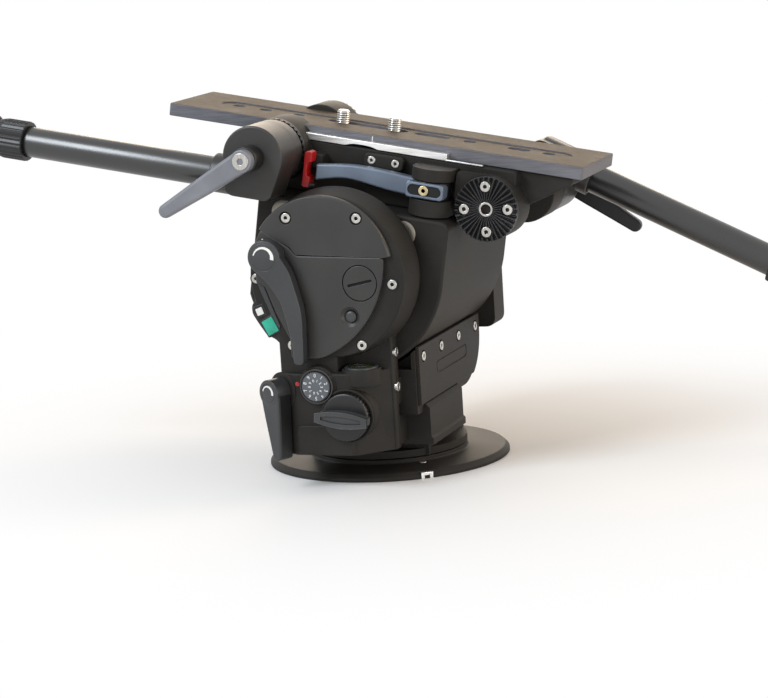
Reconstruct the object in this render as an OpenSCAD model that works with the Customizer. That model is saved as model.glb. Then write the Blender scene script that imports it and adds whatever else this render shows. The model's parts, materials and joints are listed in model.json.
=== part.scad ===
// Fluid head for a film camera: a panning yoke, a tilting platform with a sliding plate, and two handles.
// Origin: middle of the base flange's under face, on the pan axis. X to the front, Z up, millimetres.

/* [Base] */
// Diameter of the flat base flange
flange_d = 178; // [165:1:200]
// Thickness of the flange at its rim
flange_t = 5.6; // [4.5:0.1:9]
// Width of the bevel round the flange's top edge
flange_bevel = 3.2; // [1:0.1:4]
// Diameter of the raised step under the yoke
step_d = 116; // [112:1:124]
// Height of the raised step
step_h = 3.4; // [2:0.1:6]
// Diameter of the tie-down thread in the middle
tie_d = 9.525; // [8:0.005:12]
// Depth of the tie-down thread
tie_depth = 20; // [12:1:30]
// Diameter of the circle of base bolts
base_bolt_circle = 100; // [85:1:110]
// Diameter of each base bolt's thread
base_bolt_d = 8; // [5:0.5:10]
// Depth of each base bolt's thread
base_bolt_depth = 7; // [4:0.5:7.5]
// Width of the locating key in the rim
key_w = 9; // [5:0.5:14]

/* [Pan bearing] */
// Diameter of the pan shaft
shaft_d = 40; // [34:1:42]
// Outer diameter of the pan bearings
pan_bearing_d = 62; // [56:1:66]
// Width of each pan bearing
pan_bearing_w = 10; // [7:0.5:11]
// Height of the shoulder between the pan bearings
shoulder_h = 8; // [4:0.5:9]
// Diameter of the pan drag chamber
drag_d = 74; // [70:1:77]
// Thickness of each drag disc
drag_disc_t = 2; // [1.5:0.1:2.4]
// Oil gap between drag discs
drag_gap = 0.65; // [0.4:0.05:0.9]
// Height of the ring nut on the pan shaft
nut_h = 8; // [5:0.5:10]

/* [Yoke] */
// Height of the tilt axis above the base
axis_h = 152; // [150:1:170]
// Length of the yoke's neck, front to rear
neck_x = 90; // [86:1:98]
// Width of the yoke's neck
neck_y = 80; // [78:1:90]
// Length of the yoke's block, front to rear
yoke_x = 104; // [98:1:110]
// Width of the yoke's block
yoke_y = 142; // [136:1:146]
// Height of the under face of the yoke's block
yoke_z = 46.6; // [44:0.2:50]
// Radius of the block's far lower corner
yoke_corner = 36; // [24:1:40]
// Diameter of the round skirt under the yoke's neck
skirt_d = 116; // [112:1:124]
// Height of the skirt's top above the base
skirt_top = 15; // [13:0.5:17]
// Distance from the pan axis to the near wall of the yoke's lower box
wall_y = 58; // [54:1:62]
// Distance from the pan axis to the far side of the lower box
box_far = 15; // [8:1:30]
// Height of the lower box's under face above the base
box_z = 22; // [20:0.5:24]
// Height of the plinth along the lower box's foot
plinth_h = 6; // [4:0.5:8]
// Thickness of the front panel
panel_t = 2.5; // [1.5:0.1:4]
// Width of each yoke arm
arm_w = 76; // [64:1:82]
// Thickness of each yoke arm
arm_t = 6; // [5:0.5:9]

/* [Near tower] */
// Diameter of the round tower head at its back
drum_d = 122; // [114:1:122]
// Diameter of the round tower head at its front
drum_front_d = 115; // [110:1:118]
// Depth of the tower head
tower_t = 25; // [22:1:32]
// Width of the tower's lower part
tower_w = 79; // [76:1:88]
// Height of the tower's under face
tower_z = 25; // [18:1:30]
// Height of the shelf on top of the tower's nose
nose_top = 84; // [80:1:88]
// Distance that the nose stands in front of the tower
nose_t = 6; // [4.5:0.5:10]
// Thickness of the side covers
cover_t = 4; // [3:0.5:6]
// Width of the seam between the side covers
seam_w = 0.5; // [0.3:0.1:1]

/* [Far tower] */
// Width of the tilt drag module
module_w = 122; // [120:1:132]
// Depth of the tilt drag module
module_t = 26; // [24:1:36]
// Height of the module's under face
module_z = 82; // [76:1:88]
// Diameter of the tilt drag chamber
tilt_drag_d = 106; // [96:1:110]

/* [Tilting body] */
// Diameter of the round lower part of the tilting body
body_d = 150; // [144:1:152]
// Width of the tilting body between the yoke arms
body_w = 148; // [140:1:156]
// Wall of the tilting body
body_wall = 7; // [5:0.5:10]
// Rear face of the tilting body behind the tilt axis
body_rear = 69; // [66:1:73]
// Top of the tilting body above the tilt axis
body_top = 45.5; // [43:0.5:46]
// Diameter of the tilt shaft
tilt_shaft_d = 24; // [18:1:28]
// Outer diameter of the tilt bearings
tilt_bearing_d = 47; // [40:1:54]
// Forward tilt of the platform at rest, in degrees
rest_tilt = 9.7; // [-20:0.1:20]

/* [Platform] */
// Width of the platform's deck
deck_w = 92; // [88:1:96]
// Rear end of the deck behind the tilt axis
deck_rear = 100; // [92:1:120]
// Front end of the deck before the tilt axis
deck_front = 112; // [104:1:124]
// Thickness of the deck
deck_t = 17.8; // [14:0.2:19]
// Diameter of the handle rosettes
rosette_d = 46; // [40:1:46]
// Thickness of each rosette
rosette_t = 4; // [3:0.5:6]
// Distance from the middle to a rosette's outer face
rosette_face = 62; // [60:1:70]
// Place of the front rosettes before the tilt axis
front_rosette_x = 97; // [94:1:104]
// Height of the front rosettes above the tilt axis
front_rosette_z = 57; // [54:1:62]
// Place of the rear rosettes behind the tilt axis
rear_rosette_x = 65; // [62:1:76]
// Height of the rear rosettes above the tilt axis
rear_rosette_z = 74.5; // [72:0.5:80]

/* [Camera plate] */
// Length of the camera plate
plate_l = 316; // [280:1:360]
// Width of the camera plate
plate_w = 80; // [76:1:84]
// Thickness of the camera plate
plate_t = 9.2; // [8:0.1:12]
// Height of the plate's under face above the tilt axis
plate_z = 84; // [83:0.1:88]
// Diameter of the camera screws
camera_screw_d = 9.525; // [6:0.005:10]
// Distance between the two camera screws
camera_screw_step = 40; // [34:1:44]
// Height of a camera screw above the plate
camera_screw_h = 8; // [4:0.5:10]

/* [Release lever] */
// Length of the release lever from its pivot
lever_l = 88; // [80:1:88]
// Height of the release lever at its pivot
lever_h = 13; // [10:0.5:13.5]
// Diameter of the release lever's pivot discs
pivot_d = 30; // [26:1:30]

/* [Handles] */
// Diameter of the handle tubes
tube_d = 22; // [18:0.5:22.5]
// Wall of the handle tubes
tube_wall = 2; // [1.5:0.1:2.5]
// Length of each handle tube
tube_l = 205; // [160:1:240]
// Distance from a rosette's axis to its tube's axis
tube_drop = 17; // [16.5:0.5:18]
// Diameter of the grips
grip_d = 32; // [28:1:38]
// Length of the grips
grip_l = 115; // [90:1:140]
// Downward slope of the front handle from the platform, in degrees
front_slope = 16; // [0:1:30]
// Length of the clamp levers
clamp_lever_l = 86; // [60:1:86]

/* [Controls] */
// Diameter of the drag knobs
knob_d = 35; // [28:1:36]
// Diameter of the drag dials
dial_d = 22; // [18:1:23]
// Diameter of the battery cap
cap_d = 25; // [20:1:26]
// Diameter of the light button
button_d = 8; // [5:0.5:10]
// Diameter of the levers' spindles
spindle_d = 10; // [7:0.5:12]

/* [Fits] */
// Running clearance on a radius
run_fit = 0.05; // [0.03:0.01:0.1]
// Clearance between faces that move past each other
gap = 0.3; // [0.2:0.05:0.5]
// Gap under the turning yoke and beside the tilting body
side_gap = 1; // [0.6:0.1:1.4]

/* [Hidden] */
$fn = 64;
eps = 0.01;
charcoal = [0.13, 0.13, 0.135];
black = [0.06, 0.06, 0.065];
cover_grey = [0.19, 0.19, 0.2];
slate = [0.27, 0.31, 0.37];
silver = [0.8, 0.8, 0.78];
steel = [0.62, 0.62, 0.63];
brass = [0.72, 0.58, 0.3];

// Base and pan bearing
step_top = flange_t + step_h;
yoke_z0 = step_top + side_gap;
spigot_d = shaft_d - 4;
key_depth = 4;
key_angle = -53;
drag_pitch = 2 * (drag_disc_t + drag_gap);
drag_h = 2 * drag_pitch + drag_disc_t + side_gap;
drag_hub_d = shaft_d + 6;
low_bearing_z = yoke_z0 + drag_h;
high_bearing_z = low_bearing_z + pan_bearing_w + shoulder_h;
nut_z = high_bearing_z + pan_bearing_w;
shaft_top = nut_z + nut_h + 2;
bearing_land = 3;

// Yoke
trough_r = body_d / 2 + 2 * side_gap;
half_body = body_w / 2;
arm_in = half_body + side_gap;
arm_out = arm_in + arm_t;
foot_y = yoke_y / 2 - 11;
foot_z = yoke_z + 9;
foot_top = axis_h - trough_r - side_gap;
panel_face = yoke_x / 2;
panel_inset = 2;
panel_z = yoke_z + 6;
trough_edge = axis_h - sqrt(pow(trough_r, 2) - pow(panel_face, 2));
panel_screw_z = trough_edge - 8.4;
panel_screw_step = 39.4;
box_proud = 2;
box_face = panel_face + box_proud;
box_top = panel_z - side_gap;
box_ledge = box_proud + 1;
plinth_proud = 1.5;
relief_z = foot_top + 5;
relief_x = panel_t + 3;
relief_y = 8 - yoke_y / 2;

// Near tower
tower_front = -(arm_out + tower_t);
cover_front = tower_front - cover_t;
nose_front = tower_front - nose_t;
drum_land = 4;
shelf_top = 112;
shelf_x = 4;
shelf_back = -(arm_out + 9);
chamfer_x = 16;
chamfer_y = 7;
nose_rear_x = 28;
pan_lever_turn = 26;
pan_lever_in = 11.5;
tower_foot_w = 72;
brake_d = 104;
brake_t = 3;
brake_pocket = 7;
brake_y = -(arm_out + 2.5);
cavity_r = 38;
cavity_t = 12;
cover_mid = [-3.2, axis_h + 4.1];
cover_r = 54;
cover_low_mid = [-32.5, axis_h + 14.5];
cover_low_r = 75.8;
cover_rear = -52;
cover_bottom = axis_h - 58;
seam_points = [[-52, 189], [-26.4, 173.8], [-23.9, 167.4], [60, 161.5]];
pod_points = [
    [-29, 98], [-51, 112], [-59, 126], [-62, 139], [-60, 147], [-46, 147], [-39, 128], [-29, 108]
];
pod_t = 16;
window_at = [-47.5, 116.5];
window_size = [10, 13];
window_t = 2;
window_turn = 36;

// Controls on the near tower
tilt_lever_at = [-40, 168];
pan_lever_at = [
    -nose_rear_x - pan_lever_in * cos(pan_lever_turn), nose_front + pan_lever_in * sin(pan_lever_turn), 71
];
pan_lever_t = 13;
pan_hub_d = 19;
pan_lever_points = [[-8.5, 0], [1.5, -48], [7, -48], [8.5, 0]];
lug_l = 20;
lug_face = 0.5;
tilt_lever_low = [-24, 130];
tilt_lever_tip = [-18.5, 98];
tilt_lever_w = [15, 11];
knob_at = [12, 54];
dial_at = [-9.6, 75.3];
cap_at = [26, 148];
button_at = [17.5, 124.2];
index_at = [-24.5, 76.6];
index_d = 3;
level_at = [19, -arm_out - 17];
level_d = 24;
hub_t = 10;
lever_t = 8;
pad_d = 14;
pad_t = 6;
pad_travel = 0.4;
pad_y = brake_y - brake_t - pad_travel - 0.1;
button_travel = 1.5;
button_recess_d = button_d + 6;
lug_r = 13;
knob_grip = [40, 10.5, 11];
dial_t = 3.5;
knob_t = 6;

// Far tower
module_face = arm_out + module_t;
chamber_back = arm_out + drag_h + 4;
far_knob_at = [14, 126];
far_dial_at = [-14, 148];

// Tilting body and platform
rotor_hub_d = tilt_shaft_d + 10;
shaft_near = brake_y - brake_t - 1;
shaft_far = chamber_back - 2;
deck_top = plate_z - 0.2;
deck_z = deck_top - deck_t;
neck_front = 72;
neck_rear = 66;
wing_w = 72;
wing_tip = 150;
boss_in = deck_w / 2;
rosette_teeth = 24;
rosette_pcd = 32;
tooth_h = 1.2;
insert_d = 13;
insert_l = 8;
tooth_root = 7;
tooth_w = [1, 3.2];
plug_d = 18;
plug_places = [[42.7, 33], [-48.5, 34]];
jaw_t = 7.2;
jaw_travel = 1;
jaw_front = 60;
jaw_rear = 60;
jaw_line = 87;
jaw_h = 5;
groove_d = 2;
groove_z = 1.2;
groove_h = 2.6;
pivot_at = [55, -58];
pivot_pin_d = 8;
pivot_top = 80.5;
pivot_low = 46.5;
lever_z = 58.5;
lever_crown = 2;
lever_waist = 4.5;
lever_root_w = 14;
lever_tip_w = 8;
lever_lean = 4;
latch_x = [-39.2, -33.6];
latch_y = [-67.5, -57.8];
latch_z = [53, 79];
block_x = [0, 30];
block_z = [71.5, 81.5];
block_y = 6;
block_mid = (block_x[0] + block_x[1]) / 2;
block_screw_step = 18;
block_screw_z = block_z[0] + 6.5;
guide_x = [-41.5, -29];
guide_z = [66, 76];
spring_z = 25.5;
spring_d = 25;
spring_bore = 12.6;
spring_count = 12;
spring_pitch = 5;
spring_t = 2.2;
screw_rod_d = 12;
crank_r = 24;
crank_hub_d = 22;
crank_hub_t = 8;
crank_knob_l = 18;

// Camera plate
channel_w = 20;
channel_l = 262;
channel_h = 5;
slot_w = camera_screw_d + 0.8;
camera_head_d = 18;
camera_head_h = 3.6;
screw_mid = -17;
plate_slots = [[-48, 14], [19, 46], [90, 107]];
plate_holes = [-119, -98, -72, 61, 121];

// Handles, in a frame at the rosette: x along the tube, y away from the platform
clamp_d = 45;
barrel_d = 28;
barrel_x = [-13, 32];
barrel_y = half_body - rosette_face + barrel_d / 2 + 2 * gap;
clamp_t = barrel_y + barrel_d / 2 + gap;
web_x = 18;
web_r = clamp_d / 2 - 1;
web_w = barrel_d - 2;
web_z = 2 - tube_drop - barrel_d / 2;
bolt_d = 9;
bolt_in = 11;
lever_hub_d = 16;
lever_hub_t = 12;
rear_lever_angle = -39;
front_lever_angle = 8;
collar_d = 29;
collar_l = 24;
collar_seat = 12;
tube_start = barrel_x[0];
tube_end = tube_start + tube_l;
rod_d = tube_d - 2 * tube_wall - 2 * run_fit;
rod_in = 120;
collar_out = tube_end + collar_l - collar_seat;
grip_start = collar_out + 2;

// Fasteners
screw_d = 4;
screw_head_d = 7;
screw_head_h = 2.5;
screw_l = 7;
screw_clear = 0.15;
socket_d = 3.4;
socket_depth = 1.6;
cover_screw_y = cover_front + 0.4;
near_screws = [
    [-26.8, 194.4, cover_screw_y], [25.5, 193.1, cover_screw_y], [-22, 102, cover_screw_y],
    [-52.5, 152, tower_front + 0.4], [23.2, 103.7, tower_front + 0.4], [47.5, 146.3, tower_front + 2]
];
side_screws = [[-(arm_out + 4.5), 95], [-(arm_out + 4.5), 70]];
far_screws = [[-53, 94], [53, 94], [-41, 191.5], [41, 191.5]];

// Cylinder along Z from z0 to z1
module post(d, z0, z1) {
    translate([0, 0, z0])
        cylinder(d = d, h = z1 - z0);
}

// Ring along Z from z0 to z1
module ring(d, bore, z0, z1) {
    difference() {
        post(d, z0, z1);
        post(bore, z0 - 1, z1 + 1);
    }
}

// Cylinder along Y at x, z, from y0 to y1
module pin_y(d, y0, y1, at = [0, 0]) {
    translate([at[0], y1, at[1]])
        rotate([90, 0, 0])
            cylinder(d = d, h = y1 - y0);
}

// Ring along Y on the tilt axis or at x, z
module ring_y(d, bore, y0, y1, at = [0, 0]) {
    difference() {
        pin_y(d, y0, y1, at);
        pin_y(bore, y0 - 1, y1 + 1, at);
    }
}

// Cylinder along X at y, z, from x0 to x1
module pin_x(d, x0, x1, at = [0, 0]) {
    translate([x0, at[0], at[1]])
        rotate([0, 90, 0])
            cylinder(d = d, h = x1 - x0);
}

// A drawing in X and Z carried along Y from y0 to y1
module slab(y0, y1) {
    translate([0, y1, 0])
        rotate([90, 0, 0])
            linear_extrude(y1 - y0)
                children();
}

// A drawing in Y and Z carried along X from x0 to x1
module beam(x0, x1) {
    translate([x0, 0, 0])
        rotate([90, 0, 90])
            linear_extrude(x1 - x0)
                children();
}

// A box given by its two corners
module block(low, high) {
    translate(low)
        cube(high - low);
}

// The tilting frame: its origin is on the tilt axis, turned by the tilt at rest
module tilted() {
    translate([0, 0, axis_h])
        rotate([0, rest_tilt, 0])
            children();
}

// A bar with round ends between two points in a drawing
module bar_2d(from, to, w) {
    run = to - from;
    translate(from)
        circle(d = w);
    translate(to)
        circle(d = w);
    translate(from)
        rotate(atan2(run[1], run[0]))
            translate([0, -w / 2])
                square([norm(run), w]);
}

// Lever arm that tapers from a round hub to a round tip in a drawing
module taper_2d(from, to, w0, w1) {
    run = to - from;
    translate(from)
        circle(d = w0);
    translate(to)
        circle(d = w1);
    translate(from)
        rotate(atan2(run[1], run[0]))
            polygon([[0, -w0 / 2], [norm(run), -w1 / 2], [norm(run), w1 / 2], [0, w0 / 2]]);
}

// Socket head screw with the top of its head at the origin, pointing up
module screw() {
    difference() {
        union() {
            post(screw_head_d, -screw_head_h, 0);
            post(screw_d, -screw_head_h - screw_l, -screw_head_h + eps);
        }
        translate([0, 0, -socket_depth])
            cylinder(d = socket_d, h = socket_depth + 1, $fn = 6);
    }
}

// Room for a screw and its head
module screw_room() {
    post(screw_head_d + 2 * screw_clear, -screw_head_h, 20);
    post(screw_d + 2 * screw_clear, -screw_head_h - screw_l - 1, 1);
}

module facing_near() {
    rotate([90, 0, 0])
        children();
}

module facing_far() {
    rotate([-90, 0, 0])
        children();
}

module facing_front() {
    rotate([0, 90, 0])
        children();
}

// Places of the screws in the yoke, the towers and their covers
module at_cover_screws() {
    for (p = near_screws)
        translate([p[0], p[2], p[1]])
            facing_near()
                children();
    for (p = side_screws)
        translate([tower_w / 2 + screw_head_h, p[0], p[1]])
            facing_front()
                children();
    for (k = [-1.5 : 1 : 1.5])
        translate([panel_face + 0.6, k * panel_screw_step, panel_screw_z])
            facing_front()
                children();
    for (p = far_screws)
        translate([p[0], module_face - 0.3, p[1]])
            facing_far()
                children();
}

// Places of the four rosettes in the tilting frame, each facing outwards
module at_rosettes() {
    for (p = [[front_rosette_x, front_rosette_z], [-rear_rosette_x, rear_rosette_z]]) {
        translate([p[0], -rosette_face, p[1]])
            facing_near()
                children();
        translate([p[0], rosette_face, p[1]])
            facing_far()
                children();
    }
}

// Places of the four screws on a rosette
module at_rosette_screws() {
    for (k = [0 : 3])
        rotate(k * 90 + 8)
            translate([rosette_pcd / 2, 0, 0])
                children();
}

// Places of the two screws in the clamp block on the platform's near side
module at_block_screws() {
    for (s = [-1, 1])
        translate([block_mid + s * block_screw_step / 2, -deck_w / 2 - block_y, block_screw_z])
            facing_near()
                children();
}

module base_flange() {
    r = flange_d / 2;
    color(charcoal)
        difference() {
            rotate_extrude()
                polygon([
                    [spigot_d / 2 + run_fit, 0], [r, 0], [r, flange_t - flange_bevel],
                    [r - flange_bevel, flange_t], [step_d / 2, flange_t],
                    [step_d / 2, step_top], [spigot_d / 2 + run_fit, step_top]
                ]);
            for (k = [0 : 3])
                rotate(45 + 90 * k)
                    translate([base_bolt_circle / 2, 0, 0])
                        post(base_bolt_d, -1, base_bolt_depth);
            rotate(key_angle)
                block([r - key_depth, -key_w / 2, -1], [r + 1, key_w / 2, flange_t + 1]);
        }
}

module locating_key() {
    r = flange_d / 2;
    color(silver)
        rotate(key_angle)
            difference() {
                block([r - key_depth, -key_w / 2, 0], [r + 0.6, key_w / 2, flange_t - 0.8]);
                block([r - key_depth / 2, -key_w / 5, flange_t / 2], [r + 1, key_w / 5, flange_t]);
            }
}

module pan_shaft() {
    color(steel)
        difference() {
            union() {
                post(spigot_d, 0, step_top + eps);
                post(shaft_d, step_top, shaft_top);
            }
            post(tie_d, -1, tie_depth);
        }
}

module pan_bearings() {
    color(steel)
        for (z = [low_bearing_z, high_bearing_z])
            ring(pan_bearing_d - 2 * run_fit, shaft_d + 2 * run_fit, z, z + pan_bearing_w);
}

module pan_shaft_nut() {
    color(steel)
        difference() {
            ring(shaft_d + 14, shaft_d + 2 * run_fit, nut_z, nut_z + nut_h);
            for (k = [0 : 3])
                rotate(90 * k)
                    block([shaft_d / 2 + 3, -3, nut_z + nut_h / 2], [shaft_d, 3, nut_z + nut_h + 1]);
        }
}

module pan_drag_rotor() {
    color(steel) {
        ring(drag_hub_d, shaft_d + 2 * run_fit, yoke_z0, yoke_z0 + drag_h - side_gap);
        for (k = [0, 1]) {
            z = yoke_z0 + drag_disc_t + drag_gap + k * drag_pitch;
            ring(drag_d - 4, drag_hub_d - 1, z, z + drag_disc_t);
        }
    }
}

module pan_drag_stator() {
    color(brass)
        for (k = [0 : 2]) {
            z = yoke_z0 + k * drag_pitch;
            ring(drag_d - 2 * run_fit, drag_hub_d + 2 * side_gap, z, z + drag_disc_t);
        }
}

// Cross section of the yoke's block, drawn in by an inset
module yoke_profile(inset) {
    half = yoke_y / 2 - inset;
    corner = yoke_corner - inset;
    low = yoke_z + inset;
    translate([-half, low])
        square([2 * half - corner, axis_h - low]);
    translate([-half, low + corner])
        square([2 * half, axis_h - low - corner]);
    translate([half - corner, low + corner])
        circle(r = corner);
}

// Side view of the yoke's lower box, with a sloping ledge on top and a plinth along its foot
module box_2d() {
    polygon([
        [-neck_x / 2, box_z], [box_face + plinth_proud, box_z],
        [box_face + plinth_proud, box_z + plinth_h - plinth_proud], [box_face, box_z + plinth_h],
        [box_face, box_top - box_ledge], [box_face - box_ledge, box_top], [-neck_x / 2, box_top]
    ]);
}

// Side view of a yoke arm
module arm_2d() {
    translate([0, axis_h])
        circle(d = arm_w);
    translate([-arm_w / 2, foot_z])
        square([arm_w, axis_h - foot_z]);
}

module pan_yoke() {
    color(charcoal)
        difference() {
            union() {
                difference() {
                    beam(-panel_face, panel_face - panel_t)
                        yoke_profile(0);
                    pin_y(2 * trough_r, -arm_in, arm_in, [0, axis_h]);
                    block([-yoke_x, -arm_in, axis_h - trough_r * 0.7], [yoke_x, arm_in, axis_h + 1]);
                    block([-yoke_x, -yoke_y, relief_z], [panel_face - relief_x, relief_y, axis_h]);
                }
                block([-neck_x / 2, -neck_y / 2, yoke_z0], [neck_x / 2, neck_y / 2, yoke_z + 2]);
                slab(-wall_y, box_far)
                    box_2d();
                post(skirt_d, yoke_z0, skirt_top);
                for (s = [0, 1])
                    mirror([0, s, 0]) {
                        slab(arm_in, arm_out)
                            arm_2d();
                        block([-arm_w / 2, foot_y, foot_z], [arm_w / 2, arm_out, foot_top]);
                    }
            }
            post(drag_d, yoke_z0 - 1, low_bearing_z);
            post(pan_bearing_d, low_bearing_z - eps, low_bearing_z + pan_bearing_w);
            post(pan_bearing_d - 2 * bearing_land, low_bearing_z, high_bearing_z + 1);
            post(pan_bearing_d, high_bearing_z, axis_h - trough_r + 5);
            pin_y(tilt_bearing_d, -arm_out - 1, arm_out + 1, [0, axis_h]);
            at_cover_screws()
                screw_room();
        }
}

module front_panel() {
    color(charcoal)
        difference() {
            beam(panel_face - panel_t, panel_face)
                intersection() {
                    yoke_profile(panel_inset);
                    translate([-yoke_y, panel_z])
                        square([2 * yoke_y, axis_h - trough_r * 0.7 - side_gap - panel_z]);
                }
            pin_y(2 * trough_r, -arm_in, arm_in, [0, axis_h]);
            at_cover_screws()
                screw_room();
        }
}

// Outline of the tower's nose from above
module nose_plan() {
    polygon([
        [tower_w / 2, -arm_out], [tower_w / 2, -arm_out - chamfer_y], [chamfer_x, nose_front],
        [-nose_rear_x, nose_front],
        [-tower_w / 2, nose_front + (tower_w / 2 - nose_rear_x) * tan(pan_lever_turn)],
        [-tower_w / 2, -arm_out]
    ]);
}

// The pan lock lever's frame: its axis stands square on the nose's rear corner
module at_pan_lever() {
    translate(pan_lever_at)
        rotate([0, 0, -pan_lever_turn])
            children();
}

// The round tower head
module drum() {
    pin_y(drum_d, -arm_out - drum_land, -arm_out, [0, axis_h]);
    translate([0, -arm_out - drum_land + eps, axis_h])
        facing_near()
            cylinder(d1 = drum_d, d2 = drum_front_d, h = tower_t - drum_land + eps);
}

module tower_housing() {
    color(charcoal)
        difference() {
            union() {
                drum();
                translate([0, 0, tower_z])
                    linear_extrude(nose_top - tower_z)
                        nose_plan();
                block([-tower_w / 2, shelf_back, tower_z], [tower_w / 2, -arm_out, shelf_top]);
                block([-tower_w / 2, tower_front, tower_z], [shelf_x, -arm_out, shelf_top]);
                block([-tower_foot_w / 2, -arm_out - 1, tower_z], [tower_foot_w / 2, -wall_y, yoke_z]);
                at_pan_lever()
                    pin_y(2 * lug_r, -lug_face, lug_l);
                pin_y(dial_d + 6, nose_front - 0.8, -arm_out - 4, dial_at);
                pin_y(knob_d + 4, nose_front - 0.8, -arm_out - 4, knob_at);
                translate(level_at)
                    post(level_d + 4, nose_top - 10, nose_top + 2);
            }
            pin_y(brake_d + 2, -arm_out - brake_pocket, -arm_out + 1, [0, axis_h]);
            pin_y(2 * cavity_r, tower_front - 1, tower_front + cavity_t, cover_mid);
            pin_y(spindle_d + 2 * run_fit, tower_front - 1, -arm_out, tilt_lever_at);
            pin_y(pad_d + 2 * run_fit, pad_y - pad_t - side_gap, -arm_out, tilt_lever_at);
            at_pan_lever()
                pin_y(spindle_d + 2 * run_fit, -lug_face - 1, lug_l);
            pin_y(spindle_d + 2 * run_fit, nose_front - 2, nose_front + 20, knob_at);
            pin_y(spindle_d / 2 + 2 * run_fit, nose_front - 2, nose_front + 16, dial_at);
            pin_y(cap_d + 2, tower_front - 1, tower_front + cavity_t + 4, cap_at);
            pin_y(index_d + 2 * run_fit, nose_front - 1, nose_front + 2, index_at);
            pin_y(button_d + 5, tower_front - 1, tower_front + 3 + button_travel, button_at);
            translate(level_at)
                post(level_d + 2 * run_fit, nose_top - 3, nose_top + 5);
            pod_space();
            at_cover_screws()
                screw_room();
        }
}

// Outline of both side covers together
module cover_2d() {
    intersection() {
        translate(cover_low_mid)
            circle(r = cover_low_r);
        union() {
            translate(cover_mid)
                circle(r = cover_r);
            translate([cover_rear, cover_bottom])
                square([2 * cover_r, cover_mid[1] - cover_bottom]);
        }
        translate([cover_rear, cover_bottom])
            square([2 * cover_r, 2 * cover_low_r]);
    }
}

// Everything above the seam between the side covers
module above_seam(shift) {
    translate([0, shift])
        polygon(concat(seam_points, [[60, 260], [-60, 260], [-60, seam_points[0][1]]]));
}

// Everything behind the lower cover's rear edge, which follows the display pod
module behind_cover() {
    edge = [pod_points[7], pod_points[6], pod_points[5]];
    polygon(concat(edge, [[-drum_d, edge[2][1]], [-drum_d, 0], [edge[0][0], 0]]));
}

module upper_side_cover() {
    color(cover_grey)
        difference() {
            slab(cover_front, tower_front)
                intersection() {
                    cover_2d();
                    above_seam(seam_w / 2);
                }
            at_cover_screws()
                screw_room();
        }
}

module lower_side_cover() {
    color(cover_grey)
        difference() {
            slab(cover_front, tower_front)
                difference() {
                    cover_2d();
                    above_seam(-seam_w / 2);
                    behind_cover();
                }
            pin_y(cap_d + 2 * run_fit, cover_front - 1, tower_front + 1, cap_at);
            pin_y(button_d + 2 * run_fit, cover_front - 1, tower_front + 1, button_at);
            pin_y(button_recess_d, cover_front - 1, cover_front + 1.8, button_at);
            pin_y(spindle_d + 2 * run_fit, cover_front - 1, tower_front + 1, tilt_lever_at);
            at_cover_screws()
                screw_room();
        }
}

module cover_screws() {
    color(steel)
        at_cover_screws()
            screw();
}

module battery_cap() {
    color(cover_grey)
        difference() {
            pin_y(cap_d, cover_front - 0.6, tower_front + 4, cap_at);
            translate([cap_at[0], cover_front, cap_at[1]])
                rotate([0, -12, 0])
                    block([-cap_d * 0.37, -2, -0.9], [cap_d * 0.37, 1.2, 0.9]);
        }
}

module light_button() {
    color(black) {
        pin_y(button_d, cover_front + 0.4, tower_front + 0.5, button_at);
        pin_y(button_d + 4, tower_front + 0.3, tower_front + 2.3, button_at);
    }
}

module tilt_lock_lever() {
    color(black) {
        pin_y(2 * lug_r - 2, cover_front - gap - hub_t, cover_front - gap, tilt_lever_at);
        pin_y(spindle_d, cover_front - gap - eps, pad_y - pad_t - gap, tilt_lever_at);
        slab(cover_front - gap - hub_t, cover_front - gap - hub_t + lever_t) {
            taper_2d(tilt_lever_at, tilt_lever_low, 2 * lug_r - 2, tilt_lever_w[0]);
            taper_2d(tilt_lever_low, tilt_lever_tip, tilt_lever_w[0], tilt_lever_w[1]);
        }
    }
}

module tilt_brake_pad() {
    color(brass)
        pin_y(pad_d, pad_y - pad_t, pad_y, tilt_lever_at);
}

module pan_lock_lever() {
    back = -lug_face - gap;
    color(black)
        at_pan_lever() {
            pin_y(pan_hub_d, back - pan_lever_t, back);
            pin_y(spindle_d, back - eps, lug_l - 1);
            slab(back - pan_lever_t, back)
                polygon(pan_lever_points);
        }
}

// Round drag knob with a cross grip, its mounting face on the origin and pointing up
module drag_knob(tail) {
    reach = (knob_grip[0] - knob_grip[1]) / 2;
    post(knob_d, gap, knob_t);
    post(spindle_d, -tail, gap + eps);
    translate([0, 0, knob_t - eps])
        linear_extrude(knob_grip[2])
            bar_2d([-reach, 0], [reach, 0], knob_grip[1]);
}

// Dial with a spindle, its mounting face on the origin and pointing up
module drag_dial(tail) {
    post(dial_d, gap, dial_t);
    post(spindle_d / 2, -tail, gap + eps);
}

module pan_drag_knob() {
    color(black)
        translate([knob_at[0], nose_front - 0.8, knob_at[1]])
            facing_near()
                drag_knob(18);
}

module pan_drag_dial() {
    color(slate)
        translate([dial_at[0], nose_front - 0.8, dial_at[1]])
            facing_near()
                drag_dial(14);
}

module dial_index() {
    color("red")
        pin_y(index_d, nose_front - 0.5, nose_front + 2, index_at);
}

module bubble_level() {
    color("palegreen")
        translate(level_at)
            post(level_d, nose_top - 3, nose_top + 3.4);
}

// The display pod's seat in the tower
module pod_space() {
    slab(tower_front, tower_front + pod_t)
        polygon(pod_points);
}

// The window's seat in the pod's front face, grown by a clearance
module display_space(more) {
    w = window_size[0] / 2 + more;
    h = window_size[1] / 2 + more;
    translate([window_at[0], tower_front, window_at[1]])
        rotate([0, -window_turn, 0])
            block([-w, 0, -h], [w, window_t, h]);
}

module display_pod() {
    color(black)
        difference() {
            pod_space();
            display_space(run_fit);
        }
}

module display_window() {
    color("mediumseagreen")
        display_space(0);
}

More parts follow.
